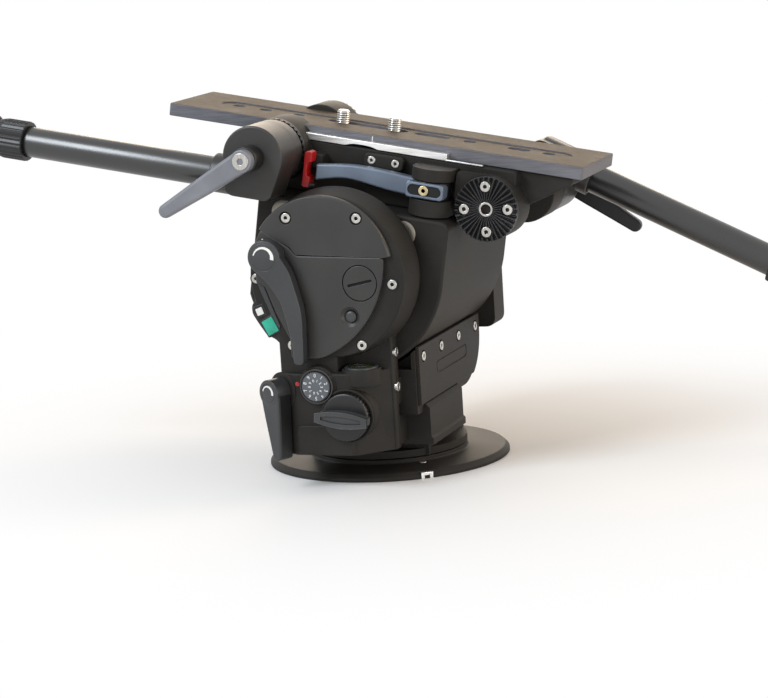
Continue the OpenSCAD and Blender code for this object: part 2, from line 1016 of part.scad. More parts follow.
module tilt_module_housing() {
    color(charcoal)
        difference() {
            slab(arm_out, module_face) {
                translate([0, axis_h])
                    circle(d = module_w);
                translate([-module_w / 2, module_z])
                    square([module_w, axis_h - module_z]);
            }
            pin_y(tilt_drag_d, arm_out - 1, chamber_back, [0, axis_h]);
            pin_y(spindle_d + 2 * run_fit, chamber_back - 1, module_face + 1, far_knob_at);
            pin_y(spindle_d / 2 + 2 * run_fit, chamber_back - 1, module_face + 1, far_dial_at);
            at_cover_screws()
                screw_room();
        }
}

module tilt_bearings() {
    color(steel)
        for (y = [-arm_out, arm_in])
            ring_y(tilt_bearing_d - 2 * run_fit, tilt_shaft_d + 2 * run_fit, y, y + arm_t, [0, axis_h]);
}

module tilt_drag_stator() {
    color(brass)
        for (k = [0 : 1]) {
            y = arm_out + side_gap + (2 * k + 1) * drag_pitch / 2;
            ring_y(tilt_drag_d - 2 * run_fit, rotor_hub_d + 2 * side_gap, y, y + drag_disc_t, [0, axis_h]);
        }
}

module tilt_drag_knob() {
    color(black)
        translate([far_knob_at[0], module_face, far_knob_at[1]])
            facing_far()
                drag_knob(module_face - chamber_back - 0.5);
}

module tilt_drag_dial() {
    color(slate)
        translate([far_dial_at[0], module_face, far_dial_at[1]])
            facing_far()
                drag_dial(module_face - chamber_back - 0.5);
}

// Side view of the tilting body, drawn in by an inset
module body_2d(inset) {
    r = body_d / 2 - inset;
    intersection() {
        union() {
            circle(r = r);
            translate([-r, 0])
                square([2 * r, body_top]);
        }
        translate([-body_rear + inset, -body_d])
            square([2 * body_d, body_d + body_top - inset]);
    }
}

module tilt_body() {
    color(charcoal)
        tilted()
            difference() {
                union() {
                    difference() {
                        slab(-half_body, half_body)
                            body_2d(0);
                        slab(-half_body + body_wall, half_body - body_wall)
                            body_2d(body_wall);
                    }
                    ring_y(rotor_hub_d + 10, tilt_shaft_d, -half_body + 1, -half_body + body_wall + 12);
                    ring_y(rotor_hub_d + 10, tilt_shaft_d, half_body - body_wall - 12, half_body - 1);
                }
                pin_y(tilt_shaft_d + 2 * run_fit, -half_body - 1, half_body + 1);
                pin_x(screw_rod_d + 2 * run_fit, -body_d, 0, [0, spring_z]);
                for (p = plug_places)
                    pin_y(plug_d - 4, -half_body - 1, -half_body + 4, p);
            }
}

module tilt_shaft() {
    color(steel)
        tilted()
            pin_y(tilt_shaft_d, shaft_near, shaft_far);
}

module tilt_drag_rotor() {
    color(steel)
        tilted() {
            ring_y(rotor_hub_d, tilt_shaft_d + 2 * run_fit, arm_out + side_gap, shaft_far);
            for (k = [0, 1]) {
                y = arm_out + side_gap + k * drag_pitch;
                ring_y(tilt_drag_d - 6, rotor_hub_d - 1, y, y + drag_disc_t);
            }
        }
}

module tilt_brake_disc() {
    color(steel)
        tilted()
            ring_y(brake_d, tilt_shaft_d + 2 * run_fit, brake_y - brake_t, brake_y);
}

// Side view of the platform's deck and its front wing
module deck_2d() {
    translate([-deck_rear, deck_z])
        square([deck_rear + deck_front, deck_t]);
}

module wing_2d() {
    polygon([
        [neck_front - 4, body_top + 2], [front_rosette_x, body_top + 2], [deck_front + 8, deck_z - 6],
        [wing_tip, deck_top - 5], [wing_tip, deck_top], [neck_front - 4, deck_top]
    ]);
}

// Room for the sliding plate and its near jaw
module plate_room() {
    block([-plate_l, -plate_w / 2 - gap, deck_top], [plate_l, plate_w / 2 + gap, deck_top + 40]);
    block(
        [-jaw_rear - gap, -plate_w / 2 - jaw_t - jaw_travel - gap, deck_top],
        [jaw_line + gap, 0, deck_top + 40]
    );
}

module platform() {
    color(charcoal)
        tilted()
            difference() {
                union() {
                    slab(-deck_w / 2, deck_w / 2)
                        deck_2d();
                    slab(-wing_w / 2, wing_w / 2)
                        wing_2d();
                    block([-neck_rear, -deck_w / 2, body_top], [neck_front, deck_w / 2, deck_z + 1]);
                    block(
                        [-jaw_rear, plate_w / 2 + gap, deck_top - 1],
                        [jaw_front, deck_w / 2, deck_top + jaw_h]
                    );
                    block(
                        [guide_x[0], latch_y[1] + gap, guide_z[0]],
                        [guide_x[1], -deck_w / 2 + 1, guide_z[1]]
                    );
                    at_rosettes()
                        post(rosette_d, -(rosette_face - boss_in) - 10, -rosette_t);
                }
                plate_room();
                translate([pivot_at[0], pivot_at[1], 0])
                    post(pivot_d + 2 * gap, body_top - 1, plate_z);
                at_rosettes()
                    post(insert_d + 2 * run_fit, -rosette_t - insert_l - 1, 1);
                at_rosettes()
                    at_rosette_screws()
                        post(screw_d + 2 * screw_clear, -rosette_t - screw_l, 1);
                at_block_screws()
                    screw_room();
            }
}

module cheek_plugs() {
    color(silver)
        tilted()
            for (p = plug_places) {
                pin_y(plug_d, -half_body - gap - 0.4, -half_body, p);
                pin_y(plug_d - 4 - 2 * run_fit, -half_body - eps, -half_body + 4, p);
            }
}

// One radial tooth of a rosette, wider towards the rim
module tooth_2d() {
    rim = rosette_d / 2 - gap;
    polygon([
        [tooth_root, -tooth_w[0] / 2], [rim, -tooth_w[1] / 2],
        [rim, tooth_w[1] / 2], [tooth_root, tooth_w[0] / 2]
    ]);
}

// One rosette: a disc with radial teeth, its outer face on the origin and pointing up
module rosette() {
    step = 360 / rosette_teeth;
    difference() {
        union() {
            post(rosette_d, -rosette_t, -tooth_h);
            translate([0, 0, -tooth_h - eps])
                linear_extrude(tooth_h)
                    for (k = [0 : rosette_teeth - 1])
                        rotate(k * step)
                            tooth_2d();
        }
        post(insert_d + 2 * run_fit, -rosette_t - 1, 1);
        at_rosette_screws()
            translate([0, 0, -tooth_h])
                screw_room();
    }
}

module rosettes() {
    color(black)
        tilted()
            at_rosettes()
                rosette();
}

module platform_screws() {
    color(steel)
        tilted() {
            at_rosettes() {
                at_rosette_screws()
                    translate([0, 0, -tooth_h])
                        screw();
                ring(insert_d, camera_screw_d, -rosette_t - insert_l, -tooth_h);
            }
            at_block_screws()
                screw();
        }
}

module plate_clamp() {
    y = -plate_w / 2 - gap;
    color(silver)
        tilted() {
            block([-jaw_rear, y - jaw_t + gap, deck_top], [jaw_front, y, deck_top + jaw_h]);
            block([jaw_front - eps, y - jaw_t + gap, deck_top], [jaw_line, y - jaw_t / 2, deck_top + 1.2]);
            block(
                [-jaw_rear, y - eps, plate_z + groove_z + gap],
                [jaw_front, y + groove_d, plate_z + groove_z + groove_h - gap]
            );
        }
}

module clamp_block() {
    color(charcoal)
        tilted()
            difference() {
                block(
                    [block_x[0], -deck_w / 2 - block_y, block_z[0]],
                    [block_x[1], -deck_w / 2, block_z[1]]
                );
                at_block_screws()
                    screw_room();
            }
}

module lever_bracket() {
    r = pivot_d / 2;
    color(charcoal)
        tilted() {
            for (z = [[pivot_low, lever_z - gap], [lever_z + lever_h + gap, pivot_top]])
                translate([pivot_at[0], pivot_at[1], 0]) {
                    post(pivot_d, z[0], z[1]);
                    block([-r, 0, z[0]], [r, -pivot_at[1] - deck_w / 2, z[1]]);
                }
            translate([pivot_at[0], pivot_at[1], 0])
                post(pivot_pin_d, pivot_low + 1, pivot_top - 1);
        }
}

module counterbalance_springs() {
    color(steel)
        tilted()
            for (k = [0 : spring_count - 1])
                translate([-spring_count * spring_pitch / 2 + k * spring_pitch, 0, spring_z])
                    rotate([0, 90, 0])
                        rotate_extrude()
                            polygon([
                                [spring_bore / 2, 0], [spring_d / 2, spring_t],
                                [spring_d / 2, 2 * spring_t], [spring_bore / 2, spring_t]
                            ]);
}

module counterbalance_crank() {
    face = -body_rear - gap;
    back = face - crank_hub_t;
    color(black)
        tilted() {
            pin_x(screw_rod_d, face - 1, spring_count * spring_pitch / 2 + 6, [0, spring_z]);
            pin_x(crank_hub_d, back, face, [0, spring_z]);
            translate([back, 0, spring_z])
                rotate([90, 0, 90])
                    linear_extrude(crank_hub_t - 2)
                        taper_2d([0, 0], [crank_r, 0], crank_hub_d - 5, crank_hub_d - 10);
            pin_x(crank_hub_d / 2, back - crank_knob_l, back + 1, [crank_r, spring_z]);
        }
}

module camera_plate() {
    color(black)
        tilted()
            difference() {
                block(
                    [-plate_l / 2, -plate_w / 2, plate_z],
                    [plate_l / 2, plate_w / 2, plate_z + plate_t]
                );
                block(
                    [-channel_l / 2, -channel_w / 2, plate_z - 1],
                    [channel_l / 2, channel_w / 2, plate_z + channel_h]
                );
                for (s = [0, 1])
                    mirror([0, s, 0])
                        block(
                            [-plate_l, plate_w / 2 - groove_d - gap, plate_z + groove_z],
                            [plate_l, plate_w, plate_z + groove_z + groove_h]
                        );
                for (p = plate_slots)
                    translate([0, 0, plate_z])
                        linear_extrude(plate_t + 1)
                            bar_2d([p[0] + slot_w / 2, 0], [p[1] - slot_w / 2, 0], slot_w);
                for (x = plate_holes)
                    translate([x, 0, 0])
                        post(camera_screw_d, plate_z, plate_z + plate_t + 1);
            }
}

// A camera screw: its head sits in the plate's channel and its thread stands above the plate
module camera_screw() {
    top = plate_z + plate_t + camera_screw_h;
    low = plate_z + channel_h - camera_head_h - gap;
    difference() {
        union() {
            post(camera_head_d, low, low + camera_head_h);
            post(camera_screw_d - 0.6, low + camera_head_h - eps, plate_z + plate_t + gap);
            post(camera_screw_d, plate_z + plate_t + gap - eps, top - 1);
            translate([0, 0, top - 1 - eps])
                cylinder(d1 = camera_screw_d, d2 = camera_screw_d - 2, h = 1);
        }
        block([-camera_head_d, -1, low - 1], [camera_head_d, 1, low + 1.2]);
    }
}

module front_camera_screw() {
    color(silver)
        tilted()
            translate([screw_mid + camera_screw_step / 2, 0, 0])
                camera_screw();
}

module rear_camera_screw() {
    color(silver)
        tilted()
            translate([screw_mid - camera_screw_step / 2, 0, 0])
                camera_screw();
}

// Release lever's arm from the side: waisted in the middle, deep again at its tip
module release_side_2d() {
    translate([pivot_at[0], lever_z])
        polygon([
            [0, 0], [0, lever_h], [-pivot_d / 2 - 1, lever_h], [-lever_l * 0.55, lever_h + lever_crown],
            [-lever_l - 1, lever_h - 1], [-lever_l - 1, 0], [-lever_l * 0.75, lever_waist],
            [-lever_l * 0.6, lever_waist - 0.5], [-pivot_d / 2 - 1, 0]
        ]);
}

// Release lever's arm from above: it narrows to its tip and leans away from the deck
module release_plan_2d() {
    polygon([
        [0, -lever_root_w / 2], [-lever_l, -lever_lean - lever_tip_w / 2],
        [-lever_l, -lever_lean + lever_tip_w / 2], [0, lever_root_w / 2]
    ]);
}

module release_lever() {
    color(slate)
        tilted()
            difference() {
                union() {
                    translate([pivot_at[0], pivot_at[1], 0])
                        post(pivot_d - 2, lever_z, lever_z + lever_h);
                    intersection() {
                        slab(-deck_w, 0)
                            release_side_2d();
                        translate([pivot_at[0], pivot_at[1], lever_z - lever_crown])
                            linear_extrude(lever_h + 3 * lever_crown)
                                release_plan_2d();
                    }
                }
                translate([pivot_at[0], pivot_at[1], 0])
                    post(pivot_pin_d + 2 * run_fit, 0, plate_z);
            }
}

module safety_latch() {
    color("red")
        tilted()
            difference() {
                block([latch_x[0], latch_y[0], latch_z[0]], [latch_x[1], latch_y[1], latch_z[1]]);
                block(
                    [latch_x[1] - 2, latch_y[0] - 1, latch_z[0] + 8],
                    [latch_x[1] + 1, latch_y[1] + 1, latch_z[1] - 8]
                );
            }
}

// The frame of the rear handle on the near side
module at_rear_handle() {
    tilted()
        translate([-rear_rosette_x, -rosette_face, rear_rosette_z])
            rotate([0, 0, 180])
                children();
}

// The frame of the front handle on the far side
module at_front_handle() {
    tilted()
        translate([front_rosette_x, rosette_face, front_rosette_z])
            rotate([0, front_slope, 0])
                mirror([0, 0, 1])
                    children();
}

// A handle's clamp: a round body on the rosette and a barrel round the tube
module clamp() {
    color(charcoal)
        difference() {
            union() {
                pin_y(clamp_d, gap, clamp_t);
                pin_x(barrel_d, barrel_x[0], barrel_x[1], [barrel_y, -tube_drop]);
                slab(barrel_y - web_w / 2, barrel_y + web_w / 2)
                    polygon([[-web_r, 0], [barrel_x[0], web_z], [web_x, web_z], [web_r, 0]]);
            }
            pin_x(tube_d + 2 * run_fit, barrel_x[0] - 50, barrel_x[1] + 50, [barrel_y, -tube_drop]);
            pin_y(bolt_d + 2 * run_fit, -1, clamp_t + 1);
        }
}

// A clamp's lever with its bolt
module clamp_lever(angle) {
    face = clamp_t + gap;
    tip = (clamp_lever_l - 5) * [cos(angle), sin(angle)];
    color(steel) {
        pin_y(bolt_d, -bolt_in, face + 1);
        pin_y(lever_hub_d, face, face + lever_hub_t);
        slab(face + 3, face + lever_hub_t - 1)
            taper_2d([0, 0], tip, lever_hub_d - 1, 10);
    }
}

module handle_tube() {
    color(black)
        difference() {
            pin_x(tube_d, tube_start, tube_end, [barrel_y, -tube_drop]);
            pin_x(tube_d - 2 * tube_wall, tube_start - 1, tube_end + 1, [barrel_y, -tube_drop]);
        }
}

module handle_collar() {
    color(charcoal)
        difference() {
            pin_x(collar_d, tube_end - collar_seat, collar_out, [barrel_y, -tube_drop]);
            pin_x(tube_d + 2 * run_fit, tube_end - collar_seat - 1, tube_end + gap, [barrel_y, -tube_drop]);
            pin_x(rod_d + 2 * run_fit, tube_end - 1, collar_out + 1, [barrel_y, -tube_drop]);
        }
}

module handle_rod() {
    color(steel)
        pin_x(rod_d, tube_end - rod_in, grip_start + grip_l - 12, [barrel_y, -tube_drop]);
}

module handle_grip() {
    color(black)
        difference() {
            union() {
                pin_x(grip_d, grip_start + 4, grip_start + grip_l - 4, [barrel_y, -tube_drop]);
                pin_x(grip_d - 5, grip_start, grip_start + grip_l, [barrel_y, -tube_drop]);
            }
            pin_x(rod_d + 2 * run_fit, grip_start - 1, grip_start + grip_l - 12, [barrel_y, -tube_drop]);
        }
}

module rear_clamp() {
    at_rear_handle()
        clamp();
}

module rear_clamp_lever() {
    at_rear_handle()
        clamp_lever(rear_lever_angle);
}

module rear_handle_tube() {
    at_rear_handle()
        handle_tube();
}

module rear_handle_collar() {
    at_rear_handle()
        handle_collar();
}

module rear_handle_rod() {
    at_rear_handle()
        handle_rod();
}

module rear_handle_grip() {
    at_rear_handle()
        handle_grip();
}

module front_clamp() {
    at_front_handle()
        clamp();
}

module front_clamp_lever() {
    at_front_handle()
        clamp_lever(front_lever_angle);
}

module front_handle_tube() {
    at_front_handle()
        handle_tube();
}

module front_handle_collar() {
    at_front_handle()
        handle_collar();
}

module front_handle_rod() {
    at_front_handle()
        handle_rod();
}

module front_handle_grip() {
    at_front_handle()
        handle_grip();
}

base_flange();
locating_key();
pan_shaft();
pan_bearings();
pan_shaft_nut();
pan_drag_rotor();
pan_yoke();
pan_drag_stator();
front_panel();
tower_housing();
upper_side_cover();
lower_side_cover();
cover_screws();
display_pod();
display_window();
dial_index();
bubble_level();
tilt_module_housing();
tilt_bearings();
tilt_drag_stator();
battery_cap();
light_button();
tilt_lock_lever();
tilt_brake_pad();
pan_lock_lever();
pan_drag_knob();
pan_drag_dial();
tilt_drag_knob();
tilt_drag_dial();
tilt_body();
tilt_shaft();
tilt_drag_rotor();
tilt_brake_disc();
platform();
cheek_plugs();
rosettes();
platform_screws();
plate_clamp();
clamp_block();
lever_bracket();
counterbalance_springs();
counterbalance_crank();
camera_plate();
front_camera_screw();
rear_camera_screw();
release_lever();
safety_latch();
rear_clamp();
rear_clamp_lever();
rear_handle_tube();
rear_handle_collar();
rear_handle_rod();
rear_handle_grip();
front_clamp();
front_clamp_lever();
front_handle_tube();
front_handle_collar();
front_handle_rod();
front_handle_grip();
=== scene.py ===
"""Looks for a two-axis fluid head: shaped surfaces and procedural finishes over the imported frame.

Lengths are millimetres until a Place puts them into the frame's metres. Heights of a plate or a
turned shell run along its place's third axis, which points out of the surface it stands on.
"""
import json

import bmesh
import bpy
import numpy as np
from bpy.props import FloatProperty, FloatVectorProperty, IntProperty, PointerProperty
from mathutils import Matrix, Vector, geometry


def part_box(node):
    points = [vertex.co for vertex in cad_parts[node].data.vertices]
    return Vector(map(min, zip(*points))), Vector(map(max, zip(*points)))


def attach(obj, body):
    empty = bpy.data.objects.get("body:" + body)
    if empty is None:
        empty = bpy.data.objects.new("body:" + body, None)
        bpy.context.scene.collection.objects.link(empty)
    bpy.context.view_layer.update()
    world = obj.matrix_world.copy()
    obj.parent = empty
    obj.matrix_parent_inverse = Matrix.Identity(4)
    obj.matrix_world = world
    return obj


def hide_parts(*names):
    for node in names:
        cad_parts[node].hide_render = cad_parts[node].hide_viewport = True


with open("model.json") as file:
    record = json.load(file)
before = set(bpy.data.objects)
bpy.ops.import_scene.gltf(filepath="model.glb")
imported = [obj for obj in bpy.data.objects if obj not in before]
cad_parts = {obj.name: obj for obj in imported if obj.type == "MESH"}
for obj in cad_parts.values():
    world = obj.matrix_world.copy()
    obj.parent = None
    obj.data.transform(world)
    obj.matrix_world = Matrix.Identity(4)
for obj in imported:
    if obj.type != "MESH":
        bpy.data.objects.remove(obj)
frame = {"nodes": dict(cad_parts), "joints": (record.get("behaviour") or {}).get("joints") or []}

bl_info = {
    "name": "Fluid head",
    "version": (1, 0, 0),
    "blender": (4, 5, 0),
    "location": "View3D > Sidebar > Head",
    "description": "Builds the visible surfaces of a fluid head, their finishes and a stage",
    "category": "Object",
}

MM = 0.001
TURN = 2 * np.pi
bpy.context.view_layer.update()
JOINTS = {joint["name"]: joint for joint in frame["joints"]}


def unit(vector):
    """The vector at length one."""
    vector = np.asarray(vector, float)
    return vector / np.linalg.norm(vector)


class Place:
    """A frame of its own: an origin in metres and three directions, for points in millimetres."""

    def __init__(self, origin, x, y, z):
        self.origin = np.asarray(origin, float)
        self.axes = np.array([unit(x), unit(y), unit(z)])

    def put(self, points):
        """Points of this place in the frame's metres."""
        return self.origin + np.asarray(points, float) * MM @ self.axes

    def at(self, x=0.0, y=0.0, z=0.0):
        """The same directions from another point of this place."""
        return Place(self.put((x, y, z)), *self.axes)

    def over(self, joint, height=0.0):
        """The same directions from a joint's position, taken to a height along the third one."""
        x, y, _ = self.axes @ (np.asarray(JOINTS[joint]["pos_m"]) - self.origin) / MM
        return self.at(x, y, height)

    def facing(self, x, y, z):
        """The same origin with directions given in this place's own."""
        return Place(self.origin, *(np.asarray(axis, float) @ self.axes for axis in (x, y, z)))

    def turned(self, degrees):
        """This place turned about its third direction."""
        c, s = np.cos(np.radians(degrees)), np.sin(np.radians(degrees))
        return self.facing((c, s, 0), (-s, c, 0), (0, 0, 1))


X, Y, Z = np.eye(3)
WORLD = Place((0, 0, 0), X, Y, Z)
NEAR = WORLD.facing(X, Z, -Y)
FAR = WORLD.facing(-X, Z, Y)
FRONT = WORLD.facing(Y, Z, X)
AXIS_H = JOINTS["tilt"]["pos_m"][2] / MM
TILT = Place((0, 0, AXIS_H * MM), JOINTS["plate_slide"]["axis"], Y, JOINTS["release_turn"]["axis"])
TILT_NEAR = TILT.facing(X, Z, -Y)
TILT_FAR = TILT.facing(-X, Z, Y)
REAR_HANDLE = Place(
    JOINTS["rear_handle_swing"]["pos_m"], JOINTS["rear_extension"]["axis"], -Y, TILT.axes[2])
FRONT_HANDLE = Place(
    JOINTS["front_handle_swing"]["pos_m"], JOINTS["front_extension"]["axis"], Y,
    np.cross(Y, JOINTS["front_extension"]["axis"]))
LOCK = Place(
    JOINTS["pan_lock_turn"]["pos_m"], np.cross(Z, JOINTS["pan_lock_turn"]["axis"]) * -1, Z,
    np.negative(JOINTS["pan_lock_turn"]["axis"]))
ROSETTES = [side.at(sign * x, height) for side, sign in ((TILT_NEAR, 1), (TILT_FAR, -1))
            for x, height in ((97, 57), (-65, 74.5))]
PANEL_SCREWS = [(k * 39.4, 86.8) for k in (-1.5, -0.5, 0.5, 1.5)]
COVER_SCREWS = [(-26.4, 194.5), (26.2, 193.5)]
LEVEL = WORLD.at(19, -98)
RELEASE_PIVOT = (55, -58)


def circle(radius, centre=(0, 0), steps=48, start=0.0):
    """A loop of points round a centre."""
    angle = np.radians(start) + np.arange(steps) * TURN / steps
    return np.asarray(centre) + radius * np.stack([np.cos(angle), np.sin(angle)], 1)


def arc(centre, radius, start, end, steps=32):
    """Points along a circle between two angles in degrees."""
    angle = np.radians(np.linspace(start, end, steps))
    return np.asarray(centre) + radius * np.stack([np.cos(angle), np.sin(angle)], 1)


def soften(points, radius, steps=7, closed=True):
    """A line of points with each corner replaced by a parabola that leaves the two edges at the given
    distance from the corner, or just under half an edge away where an edge is short."""
    points = np.asarray(points, float)
    back, on = np.roll(points, 1, 0) - points, np.roll(points, -1, 0) - points
    back_l, on_l = (np.maximum(np.linalg.norm(v, axis=1), 1e-9) for v in (back, on))
    cut = np.minimum(np.broadcast_to(radius, len(points)), 0.49 * np.minimum(back_l, on_l))
    if not closed:
        cut = cut * ((np.arange(len(points)) > 0) & (np.arange(len(points)) < len(points) - 1))
    start = points + back * (cut / back_l)[:, None]
    end = points + on * (cut / on_l)[:, None]
    t = np.linspace(0, 1, steps)[None, :, None]
    line = (1 - t) ** 2 * start[:, None] + 2 * t * (1 - t) * points[:, None] + t ** 2 * end[:, None]
    line = line.reshape(-1, points.shape[1])
    keep = np.linalg.norm(line - np.roll(line, 1, 0), axis=1) > 1e-5
    return line[keep] if closed else line[keep | (np.arange(len(line)) == 0)]


def ease(loop, reach):
    """A fine loop with its sharp corners cut: round each one the points within reach along the loop give
    way to a parabola."""
    loop = np.asarray(loop, float)
    on = np.roll(loop, -1, 0) - loop
    step = np.linalg.norm(on, axis=1)
    heading = np.arctan2(on[:, 1], on[:, 0])
    bend = np.abs((heading - np.roll(heading, 1) + np.pi) % TURN - np.pi)
    along, total = np.concatenate([[0], np.cumsum(step)[:-1]]), step.sum()
    corners = np.flatnonzero(bend > np.radians(14))
    away = np.abs((along[:, None] - along[corners] + total / 2) % total - total / 2)
    spots, rows = [along[away.min(1) >= reach]], [loop[away.min(1) >= reach]]
    t = np.linspace(0, 1, 9)[:, None]
    for corner in corners:
        ends = (along[corner] + np.array((-reach, reach))) % total
        start, end = (np.array([np.interp(at, np.append(along, total), np.append(loop[:, k], loop[0, k]))
                                for k in (0, 1)]) for at in ends)
        rows.append((1 - t) ** 2 * start + 2 * t * (1 - t) * loop[corner] + t ** 2 * end)
        spots.append((along[corner] + np.linspace(-reach, reach, 9)) % total)
    return np.concatenate(rows)[np.argsort(np.concatenate(spots), kind="stable")]


def rounded(x0, y0, x1, y1, radius):
    """A rectangle's loop with softened corners."""
    return soften([(x0, y0), (x1, y0), (x1, y1), (x0, y1)], radius)


def stadium(x0, x1, width, y=0.0):
    """A slot's loop: half circles at both ends."""
    r = width / 2
    return np.vstack([arc((x1 - r, y), r, -90, 90, 16), arc((x0 + r, y), r, 90, 270, 16)])


def through(points, steps):
    """A smooth line through points: each span is the cubic whose end slopes are half the step between
    the neighbouring points."""
    points = np.asarray(points, float)
    padded = np.vstack([2 * points[0] - points[1], points, 2 * points[-1] - points[-2]])
    a, b, c, d = padded[:-3], padded[1:-2], padded[2:-1], padded[3:]
    t = np.arange(steps)[None, :, None] / steps
    line = 0.5 * (2 * b[:, None] + (c - a)[:, None] * t
                  + (2 * a - 5 * b + 4 * c - d)[:, None] * t ** 2
                  + (3 * b - a - 3 * c + d)[:, None] * t ** 3)
    return np.vstack([line.reshape(-1, points.shape[1]), points[-1:]])


def ribbon(line, widths, steps=14):
    """The loop of a bar: a smooth line moved half its width to each side, with half circles at the ends."""
    path = through(np.column_stack([line, widths]), steps)
    centre, half = path[:, :2], path[:, 2:] / 2
    slope = np.gradient(centre, axis=0)
    slope = slope / np.linalg.norm(slope, axis=1, keepdims=True)
    side = np.stack([slope[:, 1], -slope[:, 0]], 1) * half
    heading = np.degrees(np.arctan2(slope[:, 1], slope[:, 0]))
    end = arc(centre[-1], half[-1, 0], heading[-1] - 90, heading[-1] + 90, 16)[1:-1]
    start = arc(centre[0], half[0, 0], heading[0] + 90, heading[0] + 270, 16)[1:-1]
    return np.vstack([centre + side, end, (centre - side)[::-1], start])


def inset(loop, depth):
    """A loop moved inwards: each point goes along its two edges' normals until both edges moved by depth."""
    edge = np.roll(loop, -1, 0) - loop
    normal = np.stack([-edge[:, 1], edge[:, 0]], 1) / np.linalg.norm(edge, axis=1, keepdims=True)
    before = np.roll(normal, 1, 0)
    share = 1 + np.sum(normal * before, 1, keepdims=True)
    return loop + depth * (normal + before) / np.maximum(share, 0.3)


def quads(rows, columns, start=0):
    """Faces over a grid whose last column joins its first."""
    row, column = np.arange(rows - 1)[:, None], np.arange(columns)[None]
    after = (column + 1) % columns
    corners = [row * columns + column, row * columns + after,
               (row + 1) * columns + after, (row + 1) * columns + column]
    return (np.stack(corners, -1).reshape(-1, 4) + start).tolist()


def revolve(profile, steps=96, flutes=0, depth=0.0, inner=0.0):
    """Radius and height turned about the third direction. Where the radius is over inner it dips by
    depth times half of one minus the cosine of flutes times the angle."""
    profile = np.asarray(profile, float)
    if profile[0, 0] > 1e-9:
        profile = np.vstack([profile, profile[:1]])
    angle = np.arange(steps) * TURN / steps
    dip = depth * (0.5 - 0.5 * np.cos(flutes * angle))
    radius = profile[:, :1] - np.where(profile[:, :1] > inner, dip, 0.0)
    height = np.broadcast_to(profile[:, 1:], radius.shape)
    points = np.stack([radius * np.cos(angle), radius * np.sin(angle), height], -1)
    return points.reshape(-1, 3), quads(len(profile), steps)


def wall(loop, low, high, edge, under, side):
    """Rows of a loop from low to high: a quarter circle of radius under at the foot and of radius edge at
    the top, each with a narrow row beyond it that keeps its shading off the flats."""
    t = np.linspace(0, np.pi / 2, 5)
    guard = 0.12
    depth = np.concatenate([[under + guard], under * (1 - np.sin(t)), [0, 0], edge * (1 - np.cos(t)),
                            [edge + guard]])
    height = np.concatenate([[low], low + under * (1 - np.cos(t)), [low + under + guard],
                             [high - edge - guard], high - edge + edge * np.sin(t), [high]])
    return np.stack([np.column_stack([inset(loop, side * d), np.full(len(loop), h)])
                     for d, h in zip(depth, height)])


def inside(points, loop):
    """Whether each point lies in a loop: a ray to its right crosses an odd number of edges."""
    x, y = points[:, :1], points[:, 1:2]
    start, end = loop, np.roll(loop, -1, 0)
    spans = (start[:, 1] > y) != (end[:, 1] > y)
    rise = end[:, 1] - start[:, 1]
    rise = np.where(rise == 0, 1e-12, rise)
    meets = start[:, 0] + (y - start[:, 1]) / rise * (end[:, 0] - start[:, 0])
    return np.sum(spans & (meets > x), 1) % 2 == 1


def fill(loops, indexes):
    """Triangles between an outer loop and its holes."""
    flat, index = np.concatenate(loops), np.concatenate(indexes)
    starts = np.cumsum([0] + [len(loop) for loop in loops[:-1]])
    links = np.concatenate([
        np.stack([s + np.arange(len(loop)), s + (np.arange(len(loop)) + 1) % len(loop)], 1)
        for s, loop in zip(starts, loops)])
    found = geometry.delaunay_2d_cdt(flat.tolist(), links.tolist(), [], 1, 1e-7)
    if not all(found[3]):
        raise ValueError(f"a loop crosses itself near {found[0][[not o for o in found[3]].index(True)]}")
    origin, faces = np.array([point[0] for point in found[3]]), np.array(found[2])
    middle = np.array([tuple(point) for point in found[0]])[faces].mean(1)
    keep = inside(middle, loops[0])
    for hole in loops[1:]:
        keep &= ~inside(middle, hole)
    return index[origin[faces[keep]]].tolist()


def plate(loop, low, high, edge=0.8, holes=(), under=0.2):
    """A loop raised from low to high with round rims, and holes through it. A rim too wide for the loop's
    tightest corner is tried again at two thirds of its radius."""
    try:
        return raised(np.asarray(loop, float), low, high, edge, holes, under)
    except ValueError:
        if edge < 0.02:
            raise
        return plate(loop, low, high, edge * 2 / 3, holes, under * 2 / 3)


def raised(loop, low, high, edge, holes, under):
    """The walls of a loop and its holes, and the two flats between them."""
    walls = [wall(loop, low, high, edge, under, 1)]
    walls += [wall(np.asarray(hole, float), low, high, min(edge, 0.3), 0.1, -1) for hole in holes]
    return closed(walls)


def mark(loop, low, high):
    """A thin printed shape: a loop raised with sharp rims."""
    return closed([np.stack([np.column_stack([loop, np.full(len(loop), h)]) for h in (low, high)])])


def closed(walls):
    """Walls joined by their two flats into one shell."""
    points = np.concatenate([rows.reshape(-1, 3) for rows in walls])
    starts = np.cumsum([0] + [rows.shape[0] * rows.shape[1] for rows in walls[:-1]])
    faces = []
    for start, rows in zip(starts, walls):
        faces += quads(rows.shape[0], rows.shape[1], start)
    for row in (0, -1):
        ends = [start + (row % rows.shape[0]) * rows.shape[1] + np.arange(rows.shape[1])
                for start, rows in zip(starts, walls)]
        faces += fill([rows[row, :, :2] for rows in walls], ends)
    return points, faces


def block(low, high, bevel=1.0):
    """A box between two corners with rounded edges."""
    grid = np.array(np.meshgrid([0, 1], [0, 1], [0, 1], indexing="ij")).reshape(3, -1).T
    points = np.asarray(low, float) + grid * (np.asarray(high, float) - np.asarray(low, float))
    faces = [[0, 1, 3, 2], [4, 6, 7, 5], [0, 4, 5, 1], [2, 3, 7, 6], [0, 2, 6, 4], [1, 5, 7, 3]]
    return points, faces, bevel


def disc(radius, low, high, edge=0.5, steps=64):
    """A turned disc with round rims."""
    return revolve(soften([(0, low), (radius, low), (radius, high), (0, high)], edge, 5, False), steps)


